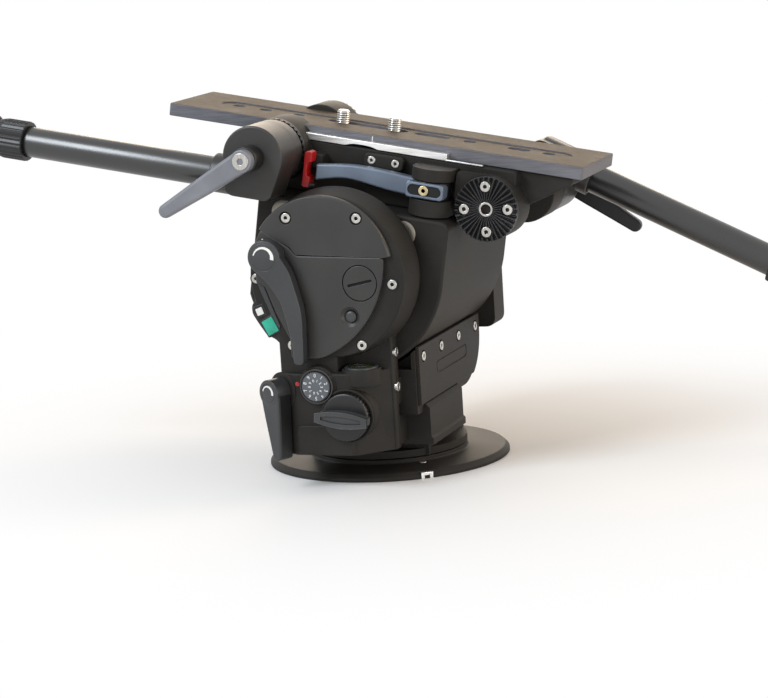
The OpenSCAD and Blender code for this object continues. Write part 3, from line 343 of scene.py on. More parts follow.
def ring(outer, inner, low, high, edge=0.4, steps=64):
    """A turned ring with round rims."""
    return revolve(soften([(inner, low), (outer, low), (outer, high), (inner, high)], edge, 4), steps)


def teeth(count, inner, outer, low, high, pockets=(), steps=8, rows=34):
    """A toothed annulus: its height is a triangle wave of count turns round the circle, cut flat at both
    ends, the wave's depth grows with the radius, and round pockets are cut down to low."""
    slope, cut, least = 3.4, 0.25, 0.3
    angle = np.arange(count * steps) * TURN / (count * steps)
    wave = np.clip(slope * np.abs((angle * count / TURN) % 1 - 0.5) - cut, 0, 1)
    radius = np.linspace(inner, outer, rows)[:, None]
    share = least + (1 - least) * (radius - inner) / (outer - inner)
    height = low + (high - low) * (1 - share * (1 - wave))
    flat = np.stack([radius * np.cos(angle), radius * np.sin(angle)], -1)
    for x, y, wide in pockets:
        height = np.where(np.hypot(flat[..., 0] - x, flat[..., 1] - y) < wide, low, height)
    points = np.concatenate([flat, height[..., None]], -1)
    foot = points[[0, -1]] * (1, 1, 0) + (0, 0, low - 0.4)
    points = np.concatenate([foot[:1], points, foot[1:], foot[:1]])
    return points.reshape(-1, 3), quads(len(points), len(angle))


def thread(radius, low, high, pitch=1.6, depth=0.5, steps=40):
    """A threaded post: its radius follows a triangle wave of the height less the turn's share of a pitch."""
    height = np.linspace(low, high - 0.8, int((high - low) / pitch * 8))[:, None]
    angle = np.arange(steps)[None] * TURN / steps
    wave = np.abs(((height / pitch - angle / TURN) % 1) * 2 - 1)
    spread = radius - depth * wave
    rows = [np.stack([spread * np.cos(angle), spread * np.sin(angle), height + 0 * angle], -1)]
    for r, h in ((radius - 1.2, high), (0.0, high)):
        rows.append(np.stack([r * np.cos(angle), r * np.sin(angle), h + 0 * angle], -1))
    rows.insert(0, rows[0][:1] * (0, 0, 1))
    points = np.concatenate(rows)
    return points.reshape(-1, 3), quads(len(points), steps)


def digit(value, size, height):
    """A numeral's flat outline as a thin mesh."""
    curve = bpy.data.curves.new("digit", "FONT")
    curve.body, curve.size, curve.extrude = str(value), size, height
    curve.align_x, curve.align_y = "CENTER", "CENTER"
    holder = bpy.data.objects.new("digit", curve)
    mesh = bpy.data.meshes.new_from_object(holder)
    points = np.empty(len(mesh.vertices) * 3)
    mesh.vertices.foreach_get("co", points)
    faces = [list(face.vertices) for face in mesh.polygons]
    bpy.data.objects.remove(holder)
    bpy.data.curves.remove(curve)
    bpy.data.meshes.remove(mesh)
    return points.reshape(-1, 3), faces


def linear(colour):
    """A display colour as the linear one that shaders take."""
    colour = np.asarray(colour, float)
    low, high = colour / 12.92, ((colour + 0.055) / 1.055) ** 2.4
    return (*np.where(colour <= 0.04045, low, high), 1.0)


class Wire:
    """A shader socket that does sums: each operator adds the Math node it stands for."""

    def __init__(self, tree, socket=None):
        self.tree, self.socket = tree, socket

    def node(self, kind, settings=None, inputs=None, output=0):
        """A new node: its settings first, then its inputs, which are values or wires."""
        made = self.tree.nodes.new(kind)
        for key, value in (settings or {}).items():
            setattr(made, key, value)
        for key, value in (inputs or {}).items():
            if isinstance(value, Wire):
                self.tree.links.new(value.socket, made.inputs[key])
            else:
                made.inputs[key].default_value = value
        return Wire(self.tree, made.outputs[output] if len(made.outputs) else None)

    def math(self, operation, *values):
        """A Math node over values and wires."""
        return self.node("ShaderNodeMath", {"operation": operation}, dict(enumerate(values)))

    def __add__(self, other):
        return self.math("ADD", self, other)

    def __sub__(self, other):
        return self.math("SUBTRACT", self, other)

    def __mul__(self, other):
        return self.math("MULTIPLY", self, other)

    def __rsub__(self, other):
        return self.math("SUBTRACT", other, self)

    __radd__ = __add__
    __rmul__ = __mul__

    def ramp(self, low, high):
        """Zero below low, one above high and a smooth step between them."""
        return self.node("ShaderNodeMapRange", {"interpolation_type": "SMOOTHSTEP"},
                         {"Value": self, "From Min": low, "From Max": high})

    def mix(self, first, second):
        """From the first colour to the second as this wire goes from zero to one."""
        return self.node("ShaderNodeMix", {"data_type": "RGBA"}, {0: self, 6: first, 7: second}, 2)


def surface(name, colour, rough, metal=0.0, grain=0.0, grain_size=0.8, blotch=0.12, worn=0.0,
            worn_colour=(0.62, 0.6, 0.57), coat=0.0, brushed=None, top=None, glow=0.0, shine=0.5):
    """A finish on object coordinates. Broad noise shades the colour and the roughness, fine noise raises
    the grain, stretched noise brushes it, edges that a rounded normal finds are rubbed lighter, faces
    that look up take the top colour, a painted warm reflection, and glow gives the colour off as light."""
    material = bpy.data.materials.new(name)
    material.use_nodes = True
    tree = material.node_tree
    tree.nodes.clear()
    base = Wire(tree)
    broad_scale, streak_scale, edge_mm = 28.0, 900.0, 0.7
    place = base.node("ShaderNodeTexCoord", output="Object")
    broad = base.node("ShaderNodeTexNoise", inputs={"Vector": place, "Scale": broad_scale, "Detail": 4.0})
    fine = base.node("ShaderNodeTexNoise", inputs={
        "Vector": place, "Scale": 1 / (grain_size * MM), "Detail": 2.0, "Roughness": 0.6})
    shade = broad.ramp(0.32, 0.68)
    tone = np.asarray(colour)
    mixed = shade.mix(linear(tone * (1 - blotch)), linear(np.minimum(tone * (1 + blotch), 1)))
    roughness = rough + (broad - 0.5) * 0.16 + (fine - 0.5) * 0.08
    height = fine
    if brushed is not None:
        along = base.node("ShaderNodeMapping", inputs={"Vector": place, "Scale": brushed})
        streak = base.node("ShaderNodeTexNoise", inputs={
            "Vector": along, "Scale": streak_scale, "Detail": 3.0})
        mixed = streak.ramp(0.25, 0.8).mix(mixed, linear(np.minimum(tone * 1.18, 1)))
        roughness = roughness + (streak - 0.5) * 0.25
        height = height * 0.2 + streak
    if worn:
        round_normal = base.node("ShaderNodeBevel", {"samples": 4}, {"Radius": edge_mm * MM})
        flat_normal = base.node("ShaderNodeNewGeometry", output="Normal")
        agree = base.node("ShaderNodeVectorMath", {"operation": "DOT_PRODUCT"},
                          {0: round_normal, 1: flat_normal}, "Value")
        rub = (1 - agree).ramp(0.02, 0.22) * fine.ramp(0.3, 0.75) * broad.ramp(0.35, 0.65) * worn
        mixed = rub.mix(mixed, linear(worn_colour))
    # The top colour is a painted reflection: faces that look up take a warm sheen colour.
    if top is not None:
        up = base.node("ShaderNodeSeparateXYZ", inputs={
            "Vector": base.node("ShaderNodeTexCoord", output="Normal")}, output="Z")
        mixed = up.ramp(0.7, 0.95).mix(mixed, shade.mix(linear(np.multiply(top, 0.94)), linear(top)))
    shader = {"Base Color": mixed, "Roughness": roughness, "Metallic": metal, "Coat Weight": coat,
              "Coat Roughness": 0.12, "Specular IOR Level": shine}
    if grain or brushed is not None:
        shader["Normal"] = base.node("ShaderNodeBump", inputs={
            "Height": height, "Strength": 1.0, "Distance": max(grain, 0.01) * MM})
    if glow:
        shader["Emission Color"] = mixed
        shader["Emission Strength"] = glow
    base.node("ShaderNodeOutputMaterial", inputs={
        "Surface": base.node("ShaderNodeBsdfPrincipled", inputs=shader)})
    return material


def tint(name, description, default):
    """A colour setting."""
    return FloatVectorProperty(
        name=name, description=description, subtype="COLOR", default=default, min=0, max=1)


class HeadLook(bpy.types.PropertyGroup):
    """Colours of the head's finishes."""

    casting: tint("Casting", "Fine-textured coating of the castings", (0.15, 0.142, 0.132))
    cover: tint("Covers", "Satin coating of the side covers", (0.18, 0.175, 0.17))
    lever: tint("Levers", "Satin plastic of the lock levers and knobs", (0.21, 0.215, 0.22))
    release: tint("Release lever", "Slate coating of the release lever", (0.43, 0.475, 0.54))
    latch: tint("Latch", "Red of the safety latch and the index", (0.72, 0.07, 0.08))
    window: tint("Window", "Green of the lit display window", (0.0, 0.56, 0.46))
    grey: tint("Clamp levers", "Satin grey of the clamp levers", (0.48, 0.485, 0.51))


class HeadDetail(bpy.types.PropertyGroup):
    """Counts and sizes of small features."""

    rosette_teeth: IntProperty(
        name="Rosette teeth", description="Teeth round a handle rosette", default=36, min=8, max=72)
    collar_flutes: IntProperty(
        name="Collar flutes", description="Grip flutes round a handle collar", default=28, min=6, max=80)
    grip_ribs: IntProperty(
        name="Grip ribs", description="Ribs along a handle grip", default=22, min=4, max=60)
    seam: FloatProperty(
        name="Cover seam", description="Half the gap between the side covers, in millimetres",
        default=0.3, min=0.1, max=1)


class HeadStage(bpy.types.PropertyGroup):
    """Light and camera."""

    key: FloatProperty(name="Key light", description="Cool light from the left", default=25.0,
                       min=0, subtype="POWER")
    warm: FloatProperty(name="Warm light", description="Warm light from the right and behind",
                        default=16.0, min=0, subtype="POWER")
    edge: FloatProperty(name="Edge light", description="Low light from the right that draws the rims",
                        default=5.0, min=0, subtype="POWER")
    sky: FloatProperty(name="Sky", description="Strength of the even light", default=0.42, min=0)
    distance: FloatProperty(name="Distance", description="From the camera to its aim point",
                            default=2.089957, min=0.1, subtype="DISTANCE")
    lens: FloatProperty(name="Lens", description="Focal length in millimetres", default=132.58, min=10)


def finishes():
    """Every finish by name, made once."""
    look = bpy.context.scene.head_look
    made = {material["finish"]: material for material in bpy.data.materials if "finish" in material}
    if made:
        return made
    black = (0.085, 0.085, 0.09)
    made = {
        "casting": surface("casting", look.casting, 0.58, grain=0.09, grain_size=1.4, worn=0.6,
                           worn_colour=(0.42, 0.41, 0.39), shine=0.22),
        "toothed": surface("toothed", black, 0.34, blotch=0.1, worn=1.0, worn_colour=(0.55, 0.55, 0.57)),
        "dial": surface("dial", (0.33, 0.345, 0.37), 0.45, grain=0.01, blotch=0.06),
        "cover": surface("cover", look.cover, 0.42, grain=0.05, grain_size=1.5, blotch=0.07, worn=0.35),
        "black": surface("black", black, 0.38, grain=0.01, blotch=0.15, worn=0.25),
        "lever": surface("lever", look.lever, 0.4, grain=0.015, grain_size=0.6, blotch=0.07, worn=0.25),
        "slate": surface("slate", look.release, 0.36, metal=0.3, grain=0.01, blotch=0.08, worn=0.5),
        # The plate's brown top colour is a painted warm reflection on its upward faces.
        "plate": surface("plate", (0.4, 0.4, 0.42), 0.6, grain=0.01, blotch=0.06, worn=0.4,
                         brushed=(0.05, 1.0, 1.0), top=(0.3, 0.255, 0.205), shine=0.12),
        "silver": surface("silver", (0.86, 0.86, 0.85), 0.3, metal=0.9, blotch=0.06,
                          brushed=(0.04, 1.0, 1.0)),
        "stainless": surface("stainless", (0.7, 0.69, 0.67), 0.28, metal=1.0, blotch=0.08,
                             brushed=(1.0, 1.0, 0.1)),
        # The socket finish is painted shade for the floor of a hex socket.
        "socket": surface("socket", (0.1, 0.1, 0.1), 0.6, metal=0.5),
        "brass": surface("brass", (0.74, 0.68, 0.54), 0.3, metal=1.0, blotch=0.1, brushed=(1.0, 1.0, 0.1)),
        "red": surface("red", look.latch, 0.35, blotch=0.08, grain=0.01, worn=0.2, coat=0.3),
        "white": surface("white", (0.9, 0.9, 0.88), 0.5, blotch=0.03),
        "window": surface("window", look.window, 0.15, blotch=0.3, coat=0.5, glow=0.1),
        "vial": surface("vial", (0.2, 0.24, 0.12), 0.1, blotch=0.1, coat=1.0),
        "grey": surface("grey", look.grey, 0.42, metal=0.2, grain=0.015, blotch=0.06, worn=0.4),
        "tube": surface("tube", (0.07, 0.07, 0.075), 0.3, blotch=0.1, shine=1.0),
        "rubber": surface("rubber", (0.075, 0.075, 0.078), 0.72, grain=0.06, grain_size=0.7, blotch=0.1),
        "plug": surface("plug", (0.56, 0.54, 0.5), 0.4, metal=0.7, blotch=0.1, grain=0.01),
        # Painted shade: a near-black finish put in wells, bores, slots and gaps where shade falls.
        "dark": surface("dark", (0.03, 0.03, 0.03), 0.8),
    }
    for name, material in made.items():
        material["finish"] = name
    return made


def piece(name, body, parts):
    """One object made of closed shells, each with its place and finish. It rides on a body and stands for
    the solid of the same name."""
    weld_m, corner, sharp = 2e-6, np.radians(30), np.radians(34)
    known, used, whole = finishes(), [], bmesh.new()
    for (points, faces, *bevel), place, finish in parts:
        used += [finish] if finish not in used else []
        shell = bpy.data.meshes.new("shell")
        shell.from_pydata(place.put(points).tolist(), [], faces)
        weld = bmesh.new()
        weld.from_mesh(shell)
        bmesh.ops.remove_doubles(weld, verts=weld.verts, dist=weld_m)
        if bevel:
            corners = [e for e in weld.edges if e.is_manifold and e.calc_face_angle() > corner]
            bmesh.ops.bevel(weld, geom=corners, offset=bevel[0] * MM, segments=4, profile=0.5,
                            affect="EDGES", clamp_overlap=True)
        bmesh.ops.recalc_face_normals(weld, faces=weld.faces)
        weld.to_mesh(shell)
        weld.free()
        count = len(shell.polygons)
        shell.polygons.foreach_set("material_index", np.full(count, used.index(finish), np.int32))
        shell.polygons.foreach_set("use_smooth", np.ones(count, bool))
        whole.from_mesh(shell)
        bpy.data.meshes.remove(shell)
    mesh = bpy.data.meshes.new(name)
    whole.to_mesh(mesh)
    whole.free()
    for finish in used:
        mesh.materials.append(known[finish])
    mesh.set_sharp_from_angle(angle=sharp)
    made = bpy.data.objects.new(name, mesh)
    bpy.context.scene.collection.objects.link(made)
    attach(made, body)
    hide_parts(name)


def screw(place, finish="stainless", radius=3.5, height=2.5):
    """A cap screw's head with a hex socket whose floor is a dark disc of painted shade; its top lies on the
    place.
    """
    socket = circle(radius * 0.42, steps=6)
    return [(plate(circle(radius, steps=32), -height, 0, 0.45, [socket]), place, finish),
            (disc(radius * 0.55, -height, -height * 0.5, 0.1, 24), place, "socket")]


class HEAD_OT_base(bpy.types.Operator):
    """Builds the flange, its locating key and its mark"""

    bl_idname = "head.base"
    bl_label = "Base flange"

    def execute(self, context):
        """A turned flange with a bevelled rim and a raised step."""
        rim, thick, step, top = 89.0, 5.6, 58.0, 9.0
        slope, band, fillet = 3.2, 2.4, 1.0
        dot, dot_r = WORLD.at(41.3, -44.3), 2.6
        profile = [(0, 0), (rim, 0), (rim, band), (rim - slope, thick), (step + fillet, thick),
                   (step, thick + 0.8), (step, top), (0, top)]
        piece("base_flange", "base", [
            (revolve(soften(profile, 0.6, 5, False), 192), WORLD, "casting"),
            (disc(dot_r, thick - 1, thick + 0.25, 0.2, 32), dot, "silver"),
        ])
        low, high = (np.array(corner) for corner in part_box("locating_key"))
        out = unit((low + high) / 2 * (1, 1, 0))
        key = Place((0, 0, 0), np.cross(Z, out), Z, out)
        half, tall, notch, deep = 4.5, 4.8, 1.9, 2.6
        outline = [(-half, 0), (-notch, 0), (-notch, deep), (notch, deep), (notch, 0), (half, 0),
                   (half, tall), (-half, tall)]
        piece("locating_key", "base", [(plate(outline, rim - 4, rim + 0.7, 0.3), key, "silver")])
        return {"FINISHED"}


class HEAD_OT_yoke(bpy.types.Operator):
    """Finishes the yoke and builds its front panel"""

    bl_idname = "head.yoke"
    bl_label = "Yoke"

    def execute(self, context):
        """The yoke keeps its bored casting with rounded edges; the panel is a raised, recessed plate."""
        yoke = frame["nodes"]["pan_yoke"]
        yoke.data.materials.clear()
        yoke.data.materials.append(finishes()["casting"])
        edges = yoke.modifiers.new("edges", "BEVEL")
        edges.width, edges.segments, edges.limit_method = 1.2 * MM, 3, "ANGLE"
        edges.angle_limit = np.radians(40)
        edges.harden_normals = True
        half, corner, low, top = 69.0, 34.0, 52.6, 95.0
        face, back, sunk = 52.0, 49.5, 0.6
        middle = 48.6 + corner
        turn = np.degrees(np.arccos((middle - low) / corner)) - 90
        outline = np.vstack([[(-half, low)], arc((half - corner, middle), corner, turn, 0, 24),
                             [(half, top), (-half, top)]])
        holes = [circle(4.3, at, 32) for at in PANEL_SCREWS]
        groove = rounded(-32, 68.6, 36, 78.0, 4.2)
        piece("front_panel", "pan", [
            (plate(outline, back, face - sunk, 0.5, holes), FRONT, "casting"),
            (plate(outline, face - sunk - 0.3, face, 0.6, holes + [groove]), FRONT, "casting"),
            (plate(inset(groove, 0.9), face - sunk - 0.3, face - 0.05, 0.4), FRONT, "casting"),
        ])
        return {"FINISHED"}


class HEAD_OT_tower(bpy.types.Operator):
    """Builds the near tower's casting"""

    bl_idname = "head.tower"
    bl_label = "Near tower"

    def execute(self, context):
        """A tapered drum over a chamfered nose, with bosses for the controls."""
        wide, lip, bore = 61.0, 57.5, 53.0
        root, chamber, face, out = 81.0, 95.0, 106.0, 112.0
        low, top, shelf, half = 25.0, 84.0, 112.0, 39.5
        boss, knob_r = out + 0.8, 19.5
        drum = [(0, chamber), (bore, chamber), (bore, root), (wide, root), (wide, root + 4), (lip, face),
                (0, face)]
        nose = [(-half, -root), (-half, -106.4), (-28, -out), (16, -out), (half, -88), (half, -root)]
        dial, knob = NEAR.over("pan_dial_turn"), NEAR.over("pan_drag_turn")
        piece("tower_housing", "pan", [
            (revolve(soften(drum, 1.4, 6, False), 160), NEAR.at(0, AXIS_H), "casting"),
            (plate(soften(nose, (3, 3.5, 4, 5, 4, 3)), low, top, 1.4, under=1.2), WORLD, "casting"),
            (block((-half, -90, low), (half, -root, shelf), 1.6), WORLD, "casting"),
            (block((-half, -105.6, low), (4, -root, shelf), 1.6), WORLD, "casting"),
            (block((-36, -root - 1, low), (36, -58, 46.6), 1.0), WORLD, "casting"),
            (disc(13, -20, 0.5, 0.8), LOCK, "casting"),
            (ring(14, 11.4, 100, boss, 0.5), dial, "casting"),
            (ring(12.6, 11.25, 105, boss + 2.2, 0.35), dial, "cover"),
            (disc(knob_r, 100, boss, 0.7), knob, "casting"),
            (ring(knob_r, knob_r - 1.6, 110, boss + 1.4, 0.5), knob, "casting"),
            (ring(14, 12.1, 74, 86, 0.8), LEVEL, "casting"),
            (plate(rounded(-27, 25.5, 15.5, 47, 4), out - 1.5, out + 1.4, 1.2), NEAR, "casting"),
        ])
        return {"FINISHED"}


class HEAD_OT_covers(bpy.types.Operator):
    """Builds the two side covers, the battery cap and the light button"""

    bl_idname = "head.covers"
    bl_label = "Side covers"

    def crowned(self, mid, wide, trim_mid, trim_wide, seam, back, front):
        """Rows from a round foot to a face. Rays from the middle meet the foot's circle and the trim circle,
        and a row goes from the first to the second by one minus a quarter turn's cosine as it rises by its
        sine. The seam's points close each row."""
        angle = np.radians(np.linspace(11.5, 145.0, 64))
        ray = np.stack([np.cos(angle), np.sin(angle)], 1)
        along = ray @ (trim_mid - mid)
        face = along + np.sqrt(along ** 2 + trim_wide ** 2 - np.sum((trim_mid - mid) ** 2))
        face = np.minimum(face, wide - 1.2)[:, None]
        foot, rows = back + 1, []
        for turn in np.linspace(0, np.pi / 2, 9):
            rim = np.vstack([mid + ray * (wide + (face - wide) * (1 - np.cos(turn))), seam])
            rows.append(np.column_stack([rim, np.full(len(rim), foot + (front - foot) * np.sin(turn))]))
        return np.stack([rows[0] * (1, 1, 0) + (0, 0, back), *rows])

    def execute(self, context):
        """Two circles trim the covers, and a stepped seam parts them."""
        gap = context.scene.head_detail.seam
        mid, wide = np.array((-3.2, AXIS_H + 4.1)), 54.0
        low_mid, low_wide = np.array((-32.5, AXIS_H + 14.5)), 77.0
        back, front, edge = 105.8, 110.0, 1.3
        seam = np.array([(44.4, 166.4), (-20.6, 168.2), (-24.6, 173.6), (-46.0, 187.0)])
        lift = np.array((0.0, gap))
        rows = self.crowned(mid, wide, low_mid, low_wide, (seam + lift)[::-1][1:-1], back, front)
        lower = np.vstack([seam - lift, [
            (-52, 175), (-52, 147), (-46, 147), (-39, 128), (-29, 108), (-29, 94), (-10.4, 94)],
            arc(low_mid, low_wide, -70, -0.8, 40)])
        cap, button = (26.0, 148.0), (17.5, 124.2)
        well, cap_r, button_hole = 4.6, 12.4, 7.0
        wells = [wall(circle(well, at, 40), back, front, 0.3, 0.1, -1) for at in COVER_SCREWS]
        # A ring of painted shade lines each screw well.
        shade = ring(well, 3.7, back, front - 1.2, 0.1, 40)
        piece("upper_side_cover", "pan", [
            (closed([rows, *wells]), NEAR, "cover"),
            *((shade, NEAR.at(*at), "dark") for at in COVER_SCREWS),
        ])
        holes = [circle(cap_r + 0.5, cap, 72), circle(button_hole, button, 56)]
        wide_end, narrow_end = button_hole + 0.05, 4.5
        dish = [(wide_end, front - 0.4), (narrow_end, front - 2.2), (narrow_end, back), (wide_end, back)]
        arrow = [(-46.2, 177.4), (-41.2, 178.6), (-45.2, 180.2)]
        piece("lower_side_cover", "pan", [
            (plate(ease(lower, 2.9), back, front, edge, holes), NEAR, "cover"),
            (revolve(dish, 56), NEAR.at(*button), "cover"),
            (mark(arrow, front - 0.2, front + 0.06), NEAR, "white"),
        ])
        slot, lid = stadium(-9.2, 9.2, 1.9), NEAR.at(*cap)
        piece("battery_cap", "battery", [
            (plate(circle(cap_r, steps=72), 102, front + 0.1, 0.6, [slot]), lid.turned(12), "cover"),
            # A disc of painted shade under the cap shows through its slot and the gap round it.
            (disc(10.5, 102.5, front - 1.2, 0.2), lid, "dark"),
        ])
        dome = soften([(0, 104), (4.1, 104), (4.1, 109.0), (2.6, 109.7), (0, 109.9)], 0.7, 6, False)
        piece("light_button", "button", [(revolve(dome, 48), NEAR.at(*button), "lever")])
        return {"FINISHED"}


class HEAD_OT_screws(bpy.types.Operator):
    """Builds the screws of the yoke and the towers"""

    bl_idname = "head.screws"
    bl_label = "Cover screws"

    def execute(self, context):
        """Cap heads in rings of painted shade."""
        drum = [NEAR.at(*at) for at in ((-28.5, 103.4, 107.6), (-53.0, 151.2, 107.0), (23.6, 103.4, 106.9),
                                        (49.0, 146.6, 107.2))]
        places = [NEAR.at(*at, 109.6) for at in COVER_SCREWS] + drum
        places += [FRONT.at(-85.5, height, 41.6) for height in (95, 70)]
        places += [FRONT.at(*at, 52.5) for at in PANEL_SCREWS]
        places += [FAR.at(*at, 107.3) for at in ((53, 94), (-53, 94), (41, 191.5), (-41, 191.5))]
        parts = [part for place in places for part in screw(place)]
        # Rings of painted shade stand for the shadow in the drum screws' counterbores.
        parts += [(ring(4.6, 3.6, -4, -0.7, 0.1, 40), place, "dark") for place in drum]
        piece("cover_screws", "pan", parts)
        return {"FINISHED"}


class HEAD_OT_locks(bpy.types.Operator):
    """Builds the tilt and pan lock levers"""

    bl_idname = "head.locks"
    bl_label = "Lock levers"

    def crescent(self, radius, thin, thick, start, end):
        """An arc that widens from its start to its end."""
        width = np.linspace(thin, thick, 40)[:, None]
        return np.vstack([arc((0, 0), radius, start, end, 40),
                          (arc((0, 0), 1, start, end, 40) * (radius - width))[::-1]])[::-1]

    def execute(self, context):
        """Round hubs with swept arms and a white crescent on each hub."""
        middle = (-40.4, 168.1)
        hub = NEAR.at(*middle)
        left = through([(-45.0, 156.4), (-40.4, 151.2), (-35.3, 144.9), (-29.7, 134.5), (-25.4, 117.3),
                        (-23.3, 104.3), (-23.0, 96.0)], 6)
        right = through([(-15.4, 96.0), (-14.9, 111.7), (-15.0, 128.9), (-18.8, 146.2), (-22.6, 158.6),
                         (-28.6, 168.6)], 6)
        tip = soften([(-22.8, 93.5), (-21.5, 91.6), (-17.0, 91.6), (-15.6, 93.5)], 1, closed=False)
        arm = np.vstack([right, arc(middle, 12.2, 12, 232, 40), left, tip])
        back, crest = 110.3, 121.3
        crown = [(0, back), (12, back), (12, crest - 1.3), (9.6, crest), (9.4, crest - 0.7),
                 (8.9, crest - 0.7), (8.7, crest), (0, crest + 0.2)]
        piece("tilt_lock_lever", "tilt_lock", [
            (revolve(soften(crown, 0.4, 4, False), 96), hub, "lever"),
            (plate(arm, back + 2, crest - 0.3, 2.6, under=1.0), NEAR, "lever"),
            (mark(self.crescent(7.9, 0.8, 2.6, 165, -12), crest - 0.1, crest + 0.3), hub, "white"),
        ])
        back, deep = 0.8, 13.8
        arm = soften([(-9.2, 2), (-6.5, -14), (-0.5, -42), (1.0, -48.5), (7.5, -48.5), (8.2, -42),
                      (9.3, -12), (9.5, 2)], (2, 8, 6, 4, 4, 6, 8, 2))
        crown = [(0, back), (9.6, back), (9.6, deep), (7.0, deep + 0.3), (6.8, deep - 0.2),
                 (6.4, deep - 0.2), (6.2, deep + 0.3), (0, deep + 0.5)]
        piece("pan_lock_lever", "pan_lock", [
            (revolve(soften(crown, 0.6, 4, False), 80), LOCK, "lever"),
            # The arm's body under its face is black: painted shade on the lever's side walls.
            (plate(arm, back + 0.3, deep - 1.6, 0.8, under=1.0), LOCK, "black"),
            (plate(arm, deep - 1.8, deep, 1.6), LOCK, "lever"),
            (mark(self.crescent(5.6, 0.6, 1.9, 165, -12), deep + 0.2, deep + 0.6), LOCK, "white"),
        ])
        return {"FINISHED"}


class HEAD_OT_drag(bpy.types.Operator):
    """Builds both drag knobs, their dials and the pan dial's index"""

    bl_idname = "head.drag"
    bl_label = "Drag controls"

    def knob(self, name, body, place, turn, slot):
        """A disc with a lens-shaped bar that has a shallow pocket along its top."""
        reach, waist, end = 18.6, 5.0, 2.4
        x = np.linspace(-1, 1, 25)
        side = np.stack([reach * x, end + (waist - end) * (1 - x ** 2)], 1)
        lens = np.vstack([-side, side])
        pocket = lens * (0.82, 0.58)
        rim, foot, flutes, dip = 17.4, 0.3, 40, 0.5
        base = [(0, foot), (rim, foot), (rim, 5.2), (rim - 1.2, 6.1), (0, 6.4)]
        piece(name, body, [
            (revolve(soften(base, 0.7, 5, False), 120, flutes, dip, rim - dip), place, "black"),
            (plate(lens, 5.8, 14.2, 1.0), place.turned(turn), "lever"),
            (plate(lens, 12.6, 15.4, 1.0, [pocket]), place.turned(turn), "lever"),
        ])

    def dial(self, name, body, place, slot):
        """A disc with two rings of numerals."""
        face, values = 3.3, 10
        parts = [(disc(10.9, 0.3, 2.9, 0.4, 80), place, "black"),
                 (disc(10.2, 2, face, 0.3, 80), place, "dial")]
        for radius, size, offset in ((8.1, 3.5, 0.0), (4.5, 2.9, 18.0)):
            for value in range(values):
                spot = place.turned(offset - 360 / values * value).at(0, radius, face)
                parts.append((digit(value, size, 0.05), spot, "white"))
        piece(name, body, parts)

    def execute(self, context):
        """The near pair works the pan and the far pair the tilt."""
        near, far = 112.8, 107.0
        self.knob("pan_drag_knob", "pan_knob", NEAR.over("pan_drag_turn", near), -6, "black")
        self.knob("tilt_drag_knob", "tilt_knob", FAR.over("tilt_drag_turn", far), 0, "black")
        self.dial("pan_drag_dial", "pan_dial", NEAR.over("pan_dial_turn", near), "slate")
        self.dial("tilt_drag_dial", "tilt_dial", FAR.over("tilt_dial_turn", far), "slate")
        piece("dial_index", "pan", [(disc(1.6, 110, 113.0, 0.3, 32), NEAR.at(-24.5, 76.6), "red")])
        return {"FINISHED"}


class HEAD_OT_display(bpy.types.Operator):
    """Builds the display pod, its window and the bubble level"""

    bl_idname = "head.display"
    bl_label = "Display and level"

    def execute(self, context):
        """A faceted pod on the tower's rear edge, and a clear cap over a vial."""
        outline = soften([(-31, 100.5), (-28, 118), (-33, 136), (-42, 151), (-52, 156.5), (-57.4, 147.5),
                          (-54.6, 137.5), (-59.4, 131.2), (-59.2, 125.4), (-55, 118.4), (-49, 109.6),
                          (-43, 107.2), (-38, 102.2)], 2.2)
        bar = ribbon([(-51.8, 152.6), (-47.2, 139.5), (-42.6, 127.6), (-38.2, 117.0)], [4.6, 4.2, 3.6, 3.0])
        light = NEAR.at(-52.0, 127.6).turned(20)
        window = NEAR.at(-44.7, 117.0).turned(27)
        root, pod, seat, face = 90.0, 103.6, 100.0, 106.8
        piece("display_pod", "pan", [
            (plate(outline, root, pod, 1.6), NEAR, "black"),
            (plate(bar, seat, face, 0.9), NEAR, "lever"),
            (plate(rounded(-4.6, -4.4, 4.4, 4.6, 1.2), seat, face - 0.6, 0.8), light, "black"),
            (plate(rounded(-2.6, -2.6, 2.6, 2.6, 0.7), 104, face + 0.1, 0.3), light, "white"),
            (plate(rounded(-5.8, -7.0, 5.8, 7.0, 1.6), seat, face - 0.5, 0.7), window, "black"),
        ])
        piece("display_window", "pan", [
            (plate(rounded(-4.5, -5.7, 4.5, 5.7, 0.9), 104.4, face + 0.15, 0.3), window, "window")])
        bed, rim, dome = 83.0, 87.2, 87.5
        lens = [(0, bed), (9.6, bed), (9.6, rim - 0.8), (7, rim), (0, dome)]
        piece("bubble_level", "pan", [
            (ring(11.95, 9.5, bed - 2, rim, 0.5), LEVEL, "lever"),
            (revolve(soften(lens, 1.0, 6, False), 64), LEVEL, "vial"),
            (ring(4.4, 4.0, rim - 0.3, dome + 0.05, 0.1, 48), LEVEL, "black"),
        ])
        return {"FINISHED"}


class HEAD_OT_far_tower(bpy.types.Operator):
    """Builds the far drag housing"""

    bl_idname = "head.far_tower"
    bl_label = "Far tower"

    def execute(self, context):
        """An arched housing with a drag chamber inside it."""
        half, low, bore = 61.0, 82.0, 53.2
        root, lid, face = 81.0, 99.0, 107.0
        foot = [(-half, AXIS_H - 1), (-half, low), (half, low), (half, AXIS_H - 1)]
        outline = np.vstack([arc((0, AXIS_H), half, 0, 180, 72), soften(foot, 8, closed=False)])
        chamber = circle(bore, (0, AXIS_H), 120)
        piece("tilt_module_housing", "pan", [
            (plate(outline, root, lid, 0.3, [chamber]), FAR, "casting"),
            (plate(outline, lid - 0.2, face, 3.0), FAR, "casting"),
        ])
        return {"FINISHED"}


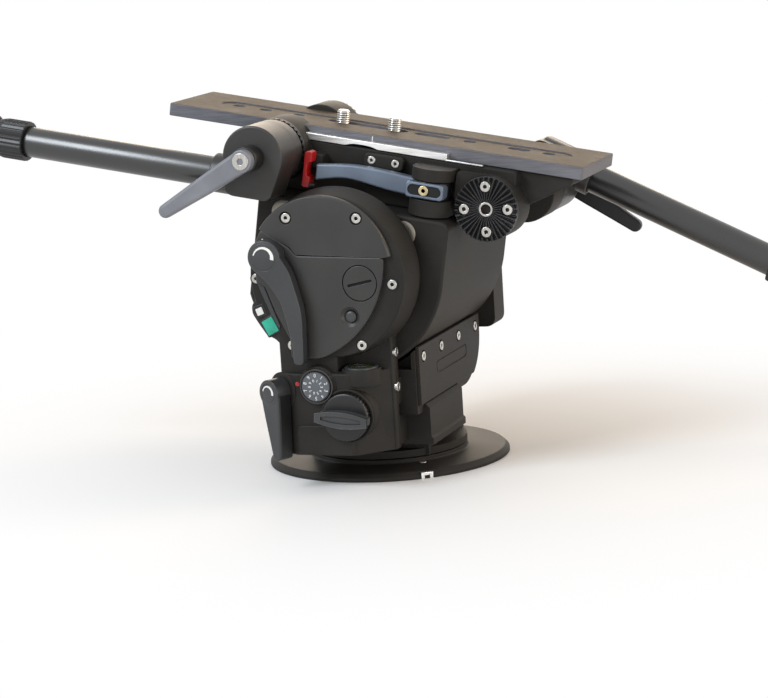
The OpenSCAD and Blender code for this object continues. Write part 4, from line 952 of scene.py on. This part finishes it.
class HEAD_OT_tilt_body(bpy.types.Operator):
    """Builds the tilting body and its cheek plugs"""

    bl_idname = "head.tilt_body"
    bl_label = "Tilting body"

    def execute(self, context):
        """A round-bottomed body with a flat rear and a square front."""
        r, rear, top, half = 75.0, 69.0, 45.5, 74.0
        drop = np.degrees(np.arccos(-rear / r))
        outline = np.vstack([
            soften([(r, -0.5), (r, top), (-rear, top), (-rear, -20)], (1, 7, 4, 1), closed=False),
            arc((0, 0), r, 360 - drop, 358, 90)])
        piece("tilt_body", "tilt", [
            (plate(outline, -half, half, 3.2, under=3.2), TILT_NEAR, "casting"),
            (ring(36, 30, half - 1, half + 0.25, 0.2, 96), TILT_NEAR, "casting"),
        ])
        dome = [(0, half - 1), (9, half - 1), (9, half + 0.5), (6.5, half + 1.1), (0, half + 1.4)]
        piece("cheek_plugs", "tilt", [
            (revolve(soften(dome, 0.6, 6, False), 64), TILT_NEAR.at(*at), "plug")
            for at in ((42.7, 33), (-48.5, 34))])
        return {"FINISHED"}


class HEAD_OT_platform(bpy.types.Operator):
    """Builds the platform with its wing and bosses, and the screwed block and lever bracket on it"""

    bl_idname = "head.platform"
    bl_label = "Platform"

    def execute(self, context):
        """A deck on a neck, a tapered front wing, and four round bosses."""
        wide, wing_wide, deck, neck = 46.0, 36.0, 83.8, 45.5
        wing = [(68, neck + 2), (97, neck + 2), (120, 60), (150, deck - 5), (150, deck), (68, deck)]
        pad = soften([(73, 80), (73, 60), (79, 44), (97, 44), (97, 57), (97, 80)][::-1], 4)
        parts = [
            (plate(rounded(-100, 66, 112, deck, 3), -wide, wide, 1.3, under=1.3), TILT_NEAR, "casting"),
            (plate(soften(wing, (3, 6, 8, 2, 2, 2)), -wing_wide, wing_wide, 1.3, under=1.3), TILT_NEAR,
             "casting"),
            (block((-66, -wide, neck), (72, wide, 67), 2.0), TILT, "casting"),
            (block((-60, 40.4, deck - 1), (60, wide, deck + 5), 0.8), TILT, "casting"),
            (block((-41.5, -57.5, 66), (-29, -45, 76), 1.0), TILT, "casting"),
            (plate(pad, wide - 2, 57, 1.2), TILT_NEAR, "casting"),
        ]
        parts += [(disc(23, 30, 58.2, 1.0, 96), spot, "casting") for spot in ROSETTES]
        piece("platform", "tilt", parts)
        piece("clamp_block", "tilt", [
            (plate(rounded(0, 71.5, 30, 81.9, 3.5), 45, 52, 1.2), TILT_NEAR, "casting")])
        foot = [(70, -57), (70, -wide), (40, -wide), (40, -57)]
        lug = np.vstack([arc(RELEASE_PIVOT, 15, 180, 360, 48), soften(foot, 1, closed=False)])
        piece("lever_bracket", "tilt", [
            (plate(lug, 46.5, 58.2, 1.2, under=1.0), TILT, "casting"),
            (plate(lug, 71.8, 80.5, 1.4, under=1.0), TILT, "casting"),
            (disc(4, 47, 80, 0.2, 40), TILT.at(*RELEASE_PIVOT), "stainless"),
        ])
        return {"FINISHED"}


class HEAD_OT_rosettes(bpy.types.Operator):
    """Builds the four handle rosettes, their screws and inserts"""

    bl_idname = "head.rosettes"
    bl_label = "Rosettes"

    def execute(self, context):
        """Radial teeth round a threaded insert, held by four screws."""
        count = context.scene.head_detail.rosette_teeth
        discs, screws = [], []
        outer, bore, sunk, seat, root, crest = 23.0, 5.3, 50.0, 57.8, 59.8, 62.0
        spread, well, head = 16.0, 4.6, 3.7
        wells = [(*at, well) for at in circle(spread, steps=4, start=8)]
        for spot in ROSETTES:
            discs += [(ring(outer, bore, seat, root + 0.1, 0.3, 96), spot, "black"),
                      (teeth(count, bore + 0.1, outer - 0.2, root, crest, wells), spot, "toothed")]
            screws += [(ring(bore - 0.1, 3.6, sunk, crest - 0.4, 0.4, 48), spot, "stainless"),
                       # A disc of painted shade fills the insert's bore.
                       (disc(4.7, sunk, sunk + 4, 0.2, 32), spot, "dark")]
            for x, y, _ in wells:
                turn = np.degrees(np.arctan2(y, x))
                screws += screw(spot.at(x, y, crest - 0.1).turned(turn), "stainless", head)
        for x in (6, 24):
            screws += screw(TILT_NEAR.at(x, 77, 52.4), "stainless", 3.0)
        piece("rosettes", "tilt", discs)
        piece("platform_screws", "tilt", screws)
        return {"FINISHED"}


class HEAD_OT_release(bpy.types.Operator):
    """Builds the release lever and the safety latch"""

    bl_idname = "head.release"
    bl_label = "Release lever and latch"

    def execute(self, context):
        """A waisted bar on a round hub with a slot through it, and a C-shaped catch."""
        low, high, reach = 58.6, 71.4, 88.0
        hub, out = RELEASE_PIVOT
        tip, root = hub - reach + 3, hub + 2
        upper = through([(root, high), (40, high), (20, high + 1.6), (-4, high + 2), (tip, high - 1)], 10)
        lower = through([(tip, low + 0.6), (-11, low + 4.6), (2, low + 4.2), (24, low + 1.2), (40, low),
                         (root, low)], 10)
        outline = np.vstack([lower, upper]) - (hub, 0)
        slot = stadium(-13.4, 11.4, 7.4, 65.0)
        lean = TILT.axes[0] + 4.0 / reach * Y
        arm = Place(TILT.put((hub, out, 0)), lean, TILT.axes[2], -Y)
        cheek = TILT_NEAR.at(hub)
        piece("release_lever", "release", [
            (plate(outline, -4.4, 4.6, 1.3, under=1.3), arm, "slate"),
            (ring(13.6, 4.2, low, high, 1.2, 80), TILT.at(hub, out), "black"),
            (plate(rounded(-15, 59.4, 13, 70.6, 3), 60, 72.6, 0.9, [slot]), cheek, "slate"),
            # A plate of painted shade fills the slot.
            (plate(inset(slot, -0.4), 60, 71.75, 0.1), cheek, "dark"),
            *screw(cheek.at(-1.5, 65, 73.0), "brass", 3.7),
        ])
        catch = [(-39.2, 53), (-33.6, 53), (-33.6, 60.5), (-36.4, 61.5), (-36.4, 70.5), (-33.6, 71.5),
                 (-33.6, 79), (-39.2, 79)]
        piece("safety_latch", "latch", [
            (plate(soften(catch, (2, 1, 1, 1, 1, 1, 2, 2.5)), 57.9, 67.4, 0.5, under=0.5), TILT_NEAR, "red"),
            (disc(3.6, 53.2, 56.5, 1.0, 40), TILT.at(-33, -64), "black"),
        ])
        return {"FINISHED"}


class HEAD_OT_plate(bpy.types.Operator):
    """Builds the camera plate, its two screws and the plate clamp's jaw"""

    bl_idname = "head.plate"
    bl_label = "Camera plate"

    def execute(self, context):
        """A long plate with slots in a shallow recess, and a bright jaw along its near edge."""
        half, wide, low, high, sunk = 158.0, 40.0, 84.0, 93.2, 0.9
        outline = rounded(-half, -wide, half, wide, 2.5)
        slots = [stadium(a, b, 10.3) for a, b in ((-48, 14), (19, 46), (90, 107))]
        slots += [circle(4.75, (x, 0), 40) for x in (-119, -98, -72, 61, 121)]
        recess = stadium(-132, 138, 22)
        piece("camera_plate", "plate", [
            (plate(outline, low + 0.1, high - sunk, 0.2, slots, 0.8), TILT, "plate"),
            (plate(outline, high - sunk - 0.5, high, 0.7, [recess]), TILT, "plate"),
            (mark(rounded(0.7, 87, 1.3, 92.2, 0.1), wide - 0.5, wide + 0.05), TILT_NEAR, "white"),
        ])
        seat, tip = 88.0, 101.2
        for end in ("front", "rear"):
            spot = TILT.over(end + "_screw_turn")
            piece(end + "_camera_screw", end + "_screw", [
                (thread(4.75, seat, tip), spot, "stainless"),
                (disc(9, seat - 3.4, seat + 0.2, 0.6), spot, "stainless"),
            ])
        end, foot, top, face = 60.0, 83.9, 88.8, 47.2
        bite = through([(-17, foot), (-11, 85.4), (-4, 85.7), (3, 85.2), (8, foot)], 6)
        strip = np.vstack([[(-end, foot)], bite, [(end, foot), (end, top), (-end, top)]])
        piece("plate_clamp", "jaw", [
            (plate(strip, 40.4, face, 0.5, under=0.3), TILT_NEAR, "silver"),
            (block((end - 1, foot, 44), (87, 85.0, face), 0.3), TILT_NEAR, "silver"),
        ])
        return {"FINISHED"}


class HEAD_OT_handles(bpy.types.Operator):
    """Builds both pan handles with their clamps, levers, tubes, collars, rods and grips"""

    bl_idname = "head.handles"
    bl_label = "Handles"

    def handle(self, context, end, place, lever_turn, finish):
        """A clamp on the rosette, a tube through its barrel, and a grip on a sliding rod."""
        detail = context.scene.head_detail
        out, drop, reach = 26.6, -17.0, 41.0
        tube = place.at(0, out, drop).facing(Y, Z, X)
        bolt = place.facing(Z, X, Y)
        side = place.facing(X, Z, Y)
        foot = [(-22.0, -5), (-17, -27), (-13, -29.4), (14, -29.4), (19, -27), (22.0, -5)]
        arch = np.vstack([arc((0, 0), 22.5, -8, 188, 60), soften(foot, 4, closed=False)[3:-3]])
        piece(end + "_clamp", end + "_handle", [
            (disc(22.5, 0.4, 16, 0.8, 96), bolt, "cover"),
            (plate(arch, 13.2, reach - 0.4, 3.0, under=0.6), side, "cover"),
            (ring(14, 11.1, -13, 32, 1.2, 80), tube, "cover"),
        ])
        face = reach + 0.1
        grip = ribbon([(0, 0), (26, 0), (50, 0), (70, 0)], [16, 14.5, 12, 10])
        lever = side.turned(lever_turn)
        piece(end + "_clamp_lever", end + "_lever", [
            (disc(9.2, face - 0.4, face + 14.0, 0.8), side, "black"),
            (disc(8.0, face + 13.0, face + 20.6, 0.8), side, finish),
            (plate(grip, face + 13.4, face + 20.2, 2.4, under=1.6), lever, finish),
            *screw(side.at(0, 0, face + 21.4), "stainless", 6.0),
        ])
        outer, inner, near, far = 11.0, 9.2, -13.0, 192.0
        bore = [(outer, near), (outer, far), (inner, far), (inner, near)]
        piece(end + "_handle_tube", end + "_handle", [
            (revolve(soften(bore, 0.5, 4), 96), tube, "tube"),
            # A disc of painted shade fills the tube's bore at its clamp end.
            (disc(9.3, -4, 30, 0.2), tube, "dark"),
        ])
        fit, wide = outer + 0.05, 14.5
        collar = [(fit, 180), (wide - 0.2, 180), (wide, 181), (wide, 198), (13, 204), (9.1, 204), (9.1, 193),
                  (fit, 193)]
        piece(end + "_handle_collar", end + "_collar", [
            (revolve(soften(collar, 0.6, 4), 168, detail.collar_flutes, 0.7, wide - 0.3), tube, "black"),
        ])
        start, stop, thick, groove, waist = 214, 309, 16.2, 0.7, 1.2
        rod = disc(8.9, 72, stop, 0.5, 72)
        piece(end + "_handle_rod", end + "_grip", [(rod, tube, "stainless")])
        along = np.linspace(start, stop, detail.grip_ribs * 8)
        share = (along - start) / (stop - start)
        ribs = thick - groove * (0.5 + 0.5 * np.cos(share * TURN * detail.grip_ribs)) ** 3
        ribs = ribs - waist * np.sin(share * np.pi)
        profile = np.vstack([[(9.0, 206), (13.5, 206), (15.2, 207.5), (15.8, 210.5)],
                             np.column_stack([ribs, along]),
                             [(15.6, 313), (14.6, 318), (11, 320.8), (0, 321.2), (0, 309.6), (9.0, 309.6)]])
        piece(end + "_handle_grip", end + "_grip", [(revolve(profile, 96), tube, "rubber")])

    def execute(self, context):
        """The rear handle is on the near side and the front one on the far side."""
        self.handle(context, "rear", REAR_HANDLE, -39, "grey")
        # The front clamp lever is the same grey part as the rear one; black paints the shade on its unlit
        # side.
        self.handle(context, "front", FRONT_HANDLE, 8, "black")
        return {"FINISHED"}


class HEAD_OT_crank(bpy.types.Operator):
    """Builds the counterbalance crank"""

    bl_idname = "head.crank"
    bl_label = "Counterbalance crank"

    def execute(self, context):
        """A hub with a swept arm and a turned knob behind the tilting body."""
        spot = TILT.at(-69.3, 0, 25.5).facing(-Y, Z, -X)
        knob = [(0, 7), (4, 7), (4.2, 9), (5.5, 11), (5.5, 24), (4.4, 26), (0, 26)]
        piece("counterbalance_crank", "crank", [
            (disc(11, 0, 8, 1.0, 64), spot, "black"),
            (plate(ribbon([(0, 0), (-12, 0.0), (-24, 0)], [17, 14, 12]), 2, 8, 1.2), spot, "black"),
            (revolve(soften(knob, 0.8, 5, False), 56), spot.at(-24), "lever"),
            *screw(spot.at(0, 0, 8.6), "stainless", 4.0),
        ])
        return {"FINISHED"}


class HEAD_OT_inside(bpy.types.Operator):
    """Gives the pieces inside the castings their finishes"""

    bl_idname = "head.inside"
    bl_label = "Inside pieces"

    def execute(self, context):
        """Bearings, shafts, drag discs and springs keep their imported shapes."""
        groups = {
            "stainless": ("steel", ["pan_shaft", "pan_bearings", "pan_shaft_nut", "pan_drag_rotor",
                                    "tilt_bearings", "tilt_shaft", "tilt_drag_rotor", "tilt_brake_disc",
                                    "counterbalance_springs"]),
            "brass": ("bronze", ["pan_drag_stator", "tilt_drag_stator", "tilt_brake_pad"]),
        }
        for finish, (slot, names) in groups.items():
            for name in names:
                node = frame["nodes"][name]
                node.data.materials.clear()
                node.data.materials.append(finishes()[finish])
        return {"FINISHED"}


class HEAD_OT_stage(bpy.types.Operator):
    """Builds the floor, the lights, the sky and the camera"""

    bl_idname = "head.stage"
    bl_label = "Stage"

    def matrix(self, *columns):
        """Three directions and a position as an object's matrix."""
        return Matrix(np.vstack([np.column_stack(columns), [0, 0, 0, 1]]).tolist())

    def lamp(self, name, place, aim, size, power, colour):
        """An area light turned to its aim point."""
        light = bpy.data.lights.new(name, "AREA")
        light.shape, light.size, light.energy, light.color = "DISK", size, power, colour
        lamp = bpy.data.objects.new(name, light)
        back = unit(np.subtract(place, aim))
        side = unit(np.cross(Z, back))
        lamp.matrix_world = self.matrix(side, np.cross(back, side), back, place)
        bpy.context.scene.collection.objects.link(lamp)

    def seen(self, wire):
        """One for what the camera, a mirror or a glass sees, and zero for light that scatters."""
        kinds = ("Is Camera Ray", "Is Glossy Ray", "Is Transmission Ray")
        return sum(wire.node("ShaderNodeLightPath", output=kind) for kind in kinds)

    def floor(self, scene):
        """A pale square that turns white with the distance from its middle where it is seen."""
        reach, lit_m, white_m = 14.0, 0.12, 0.5
        mesh = bpy.data.meshes.new("floor")
        corners = np.array([(-1, -1, 0), (1, -1, 0), (1, 1, 0), (-1, 1, 0)]) * reach
        mesh.from_pydata(corners.tolist(), [], [(0, 1, 2, 3)])
        pale = bpy.data.materials.new("floor")
        pale.use_nodes = True
        pale.node_tree.nodes.clear()
        base = Wire(pale.node_tree)
        place = base.node("ShaderNodeTexCoord", output="Object")
        cloud = base.node("ShaderNodeTexNoise", inputs={"Vector": place, "Scale": 2.0, "Detail": 3.0})
        tone = cloud.mix(linear((0.965, 0.965, 0.965)), linear((0.99, 0.99, 0.99)))
        lit = base.node("ShaderNodeBsdfPrincipled", inputs={"Base Color": tone, "Roughness": 0.9})
        white = base.node("ShaderNodeEmission", inputs={"Color": (1, 1, 1, 1), "Strength": 1.0})
        away = base.node("ShaderNodeVectorMath", {"operation": "LENGTH"}, {0: place}, "Value")
        share = away.ramp(lit_m, white_m) * self.seen(base)
        base.node("ShaderNodeOutputMaterial", inputs={
            "Surface": base.node("ShaderNodeMixShader", inputs={0: share, 1: lit, 2: white})})
        mesh.materials.append(pale)
        ground = bpy.data.objects.new("floor", mesh)
        scene.collection.objects.link(ground)

    def sky(self, scene, strength):
        """Even light of a strength, which is white where it is seen."""
        scene.world = scene.world or bpy.data.worlds.new("sky")
        scene.world.use_nodes = True
        scene.world.node_tree.nodes.clear()
        sky = Wire(scene.world.node_tree)
        sky.node("ShaderNodeOutputWorld", inputs={"Surface": sky.node("ShaderNodeBackground", inputs={
            "Color": (1, 1, 1, 1), "Strength": strength + self.seen(sky) * (1.0 - strength)})})

    def camera(self, scene, distance, lens):
        """A camera on a sphere round its target, placed by azimuth and height and rolled about its view."""
        azimuth, height, roll = np.radians((20.5, 10.351, -3.571))
        target = np.array((0.0001, 0.0, 0.0802))
        level = np.cos(height)
        back = np.array([np.sin(azimuth) * level, -np.cos(azimuth) * level, np.sin(height)])
        right = np.array([np.cos(azimuth), np.sin(azimuth), 0])
        up = np.cross(back, right)
        right, up = right * np.cos(roll) + up * np.sin(roll), up * np.cos(roll) - right * np.sin(roll)
        camera = bpy.data.objects.new("camera", bpy.data.cameras.new("camera"))
        camera.data.lens, camera.data.sensor_width = lens, 36.0
        camera.data.clip_end = 100.0
        camera.matrix_world = self.matrix(right, up, back, target + back * distance)
        scene.collection.objects.link(camera)
        scene.camera = camera

    def execute(self, context):
        """A pale floor, a white sky, a cool key, warm light from behind and the camera."""
        scene, stage = context.scene, context.scene.head_stage
        self.floor(scene)
        self.sky(scene, stage.sky)
        aim = (0, 0, 0.12)
        self.lamp("key", (-0.9, -1.3, 1.35), aim, 0.9, stage.key, (0.86, 0.93, 1.0))
        self.lamp("warm", (1.7, 0.9, 1.0), aim, 1.2, stage.warm, (1.0, 0.76, 0.53))
        self.lamp("rim", (-0.5, 1.9, 0.9), aim, 1.4, stage.warm, (1.0, 0.82, 0.62))
        self.lamp("edge", (1.35, -0.9, 0.25), aim, 0.5, stage.edge, (1.0, 0.93, 0.84))
        self.camera(scene, stage.distance, stage.lens)
        scene.view_settings.view_transform = "Standard"
        return {"FINISHED"}


OPERATORS = (
    HEAD_OT_base, HEAD_OT_yoke, HEAD_OT_tower, HEAD_OT_covers, HEAD_OT_screws, HEAD_OT_locks, HEAD_OT_drag,
    HEAD_OT_display, HEAD_OT_far_tower, HEAD_OT_tilt_body, HEAD_OT_platform, HEAD_OT_rosettes,
    HEAD_OT_release, HEAD_OT_plate, HEAD_OT_handles, HEAD_OT_crank, HEAD_OT_inside, HEAD_OT_stage,
)


class HEAD_PT_panel(bpy.types.Panel):
    """The head's settings and building steps"""

    bl_label = "Fluid head"
    bl_idname = "HEAD_PT_panel"
    bl_space_type = "VIEW_3D"
    bl_region_type = "UI"
    bl_category = "Head"

    def draw(self, context):
        """Lists every setting, then every step."""
        for group in (context.scene.head_look, context.scene.head_detail, context.scene.head_stage):
            for key in group.bl_rna.properties.keys()[2:]:
                self.layout.prop(group, key)
        for operator in OPERATORS:
            self.layout.operator(operator.bl_idname)


GROUPS = {"head_look": HeadLook, "head_detail": HeadDetail, "head_stage": HeadStage}


def register():
    """Adds the classes and the scene's settings."""
    for made in (*GROUPS.values(), *OPERATORS, HEAD_PT_panel):
        bpy.utils.register_class(made)
    for key, group in GROUPS.items():
        setattr(bpy.types.Scene, key, PointerProperty(type=group))


def unregister():
    """Takes the classes and settings away again."""
    for key in GROUPS:
        delattr(bpy.types.Scene, key)
    for made in reversed((*GROUPS.values(), *OPERATORS, HEAD_PT_panel)):
        bpy.utils.unregister_class(made)


def main():
    """Builds everything in order."""
    register()
    for operator in OPERATORS:
        group, step = operator.bl_idname.split(".")
        getattr(getattr(bpy.ops, group), step)()


if __name__ == "__main__":
    main()
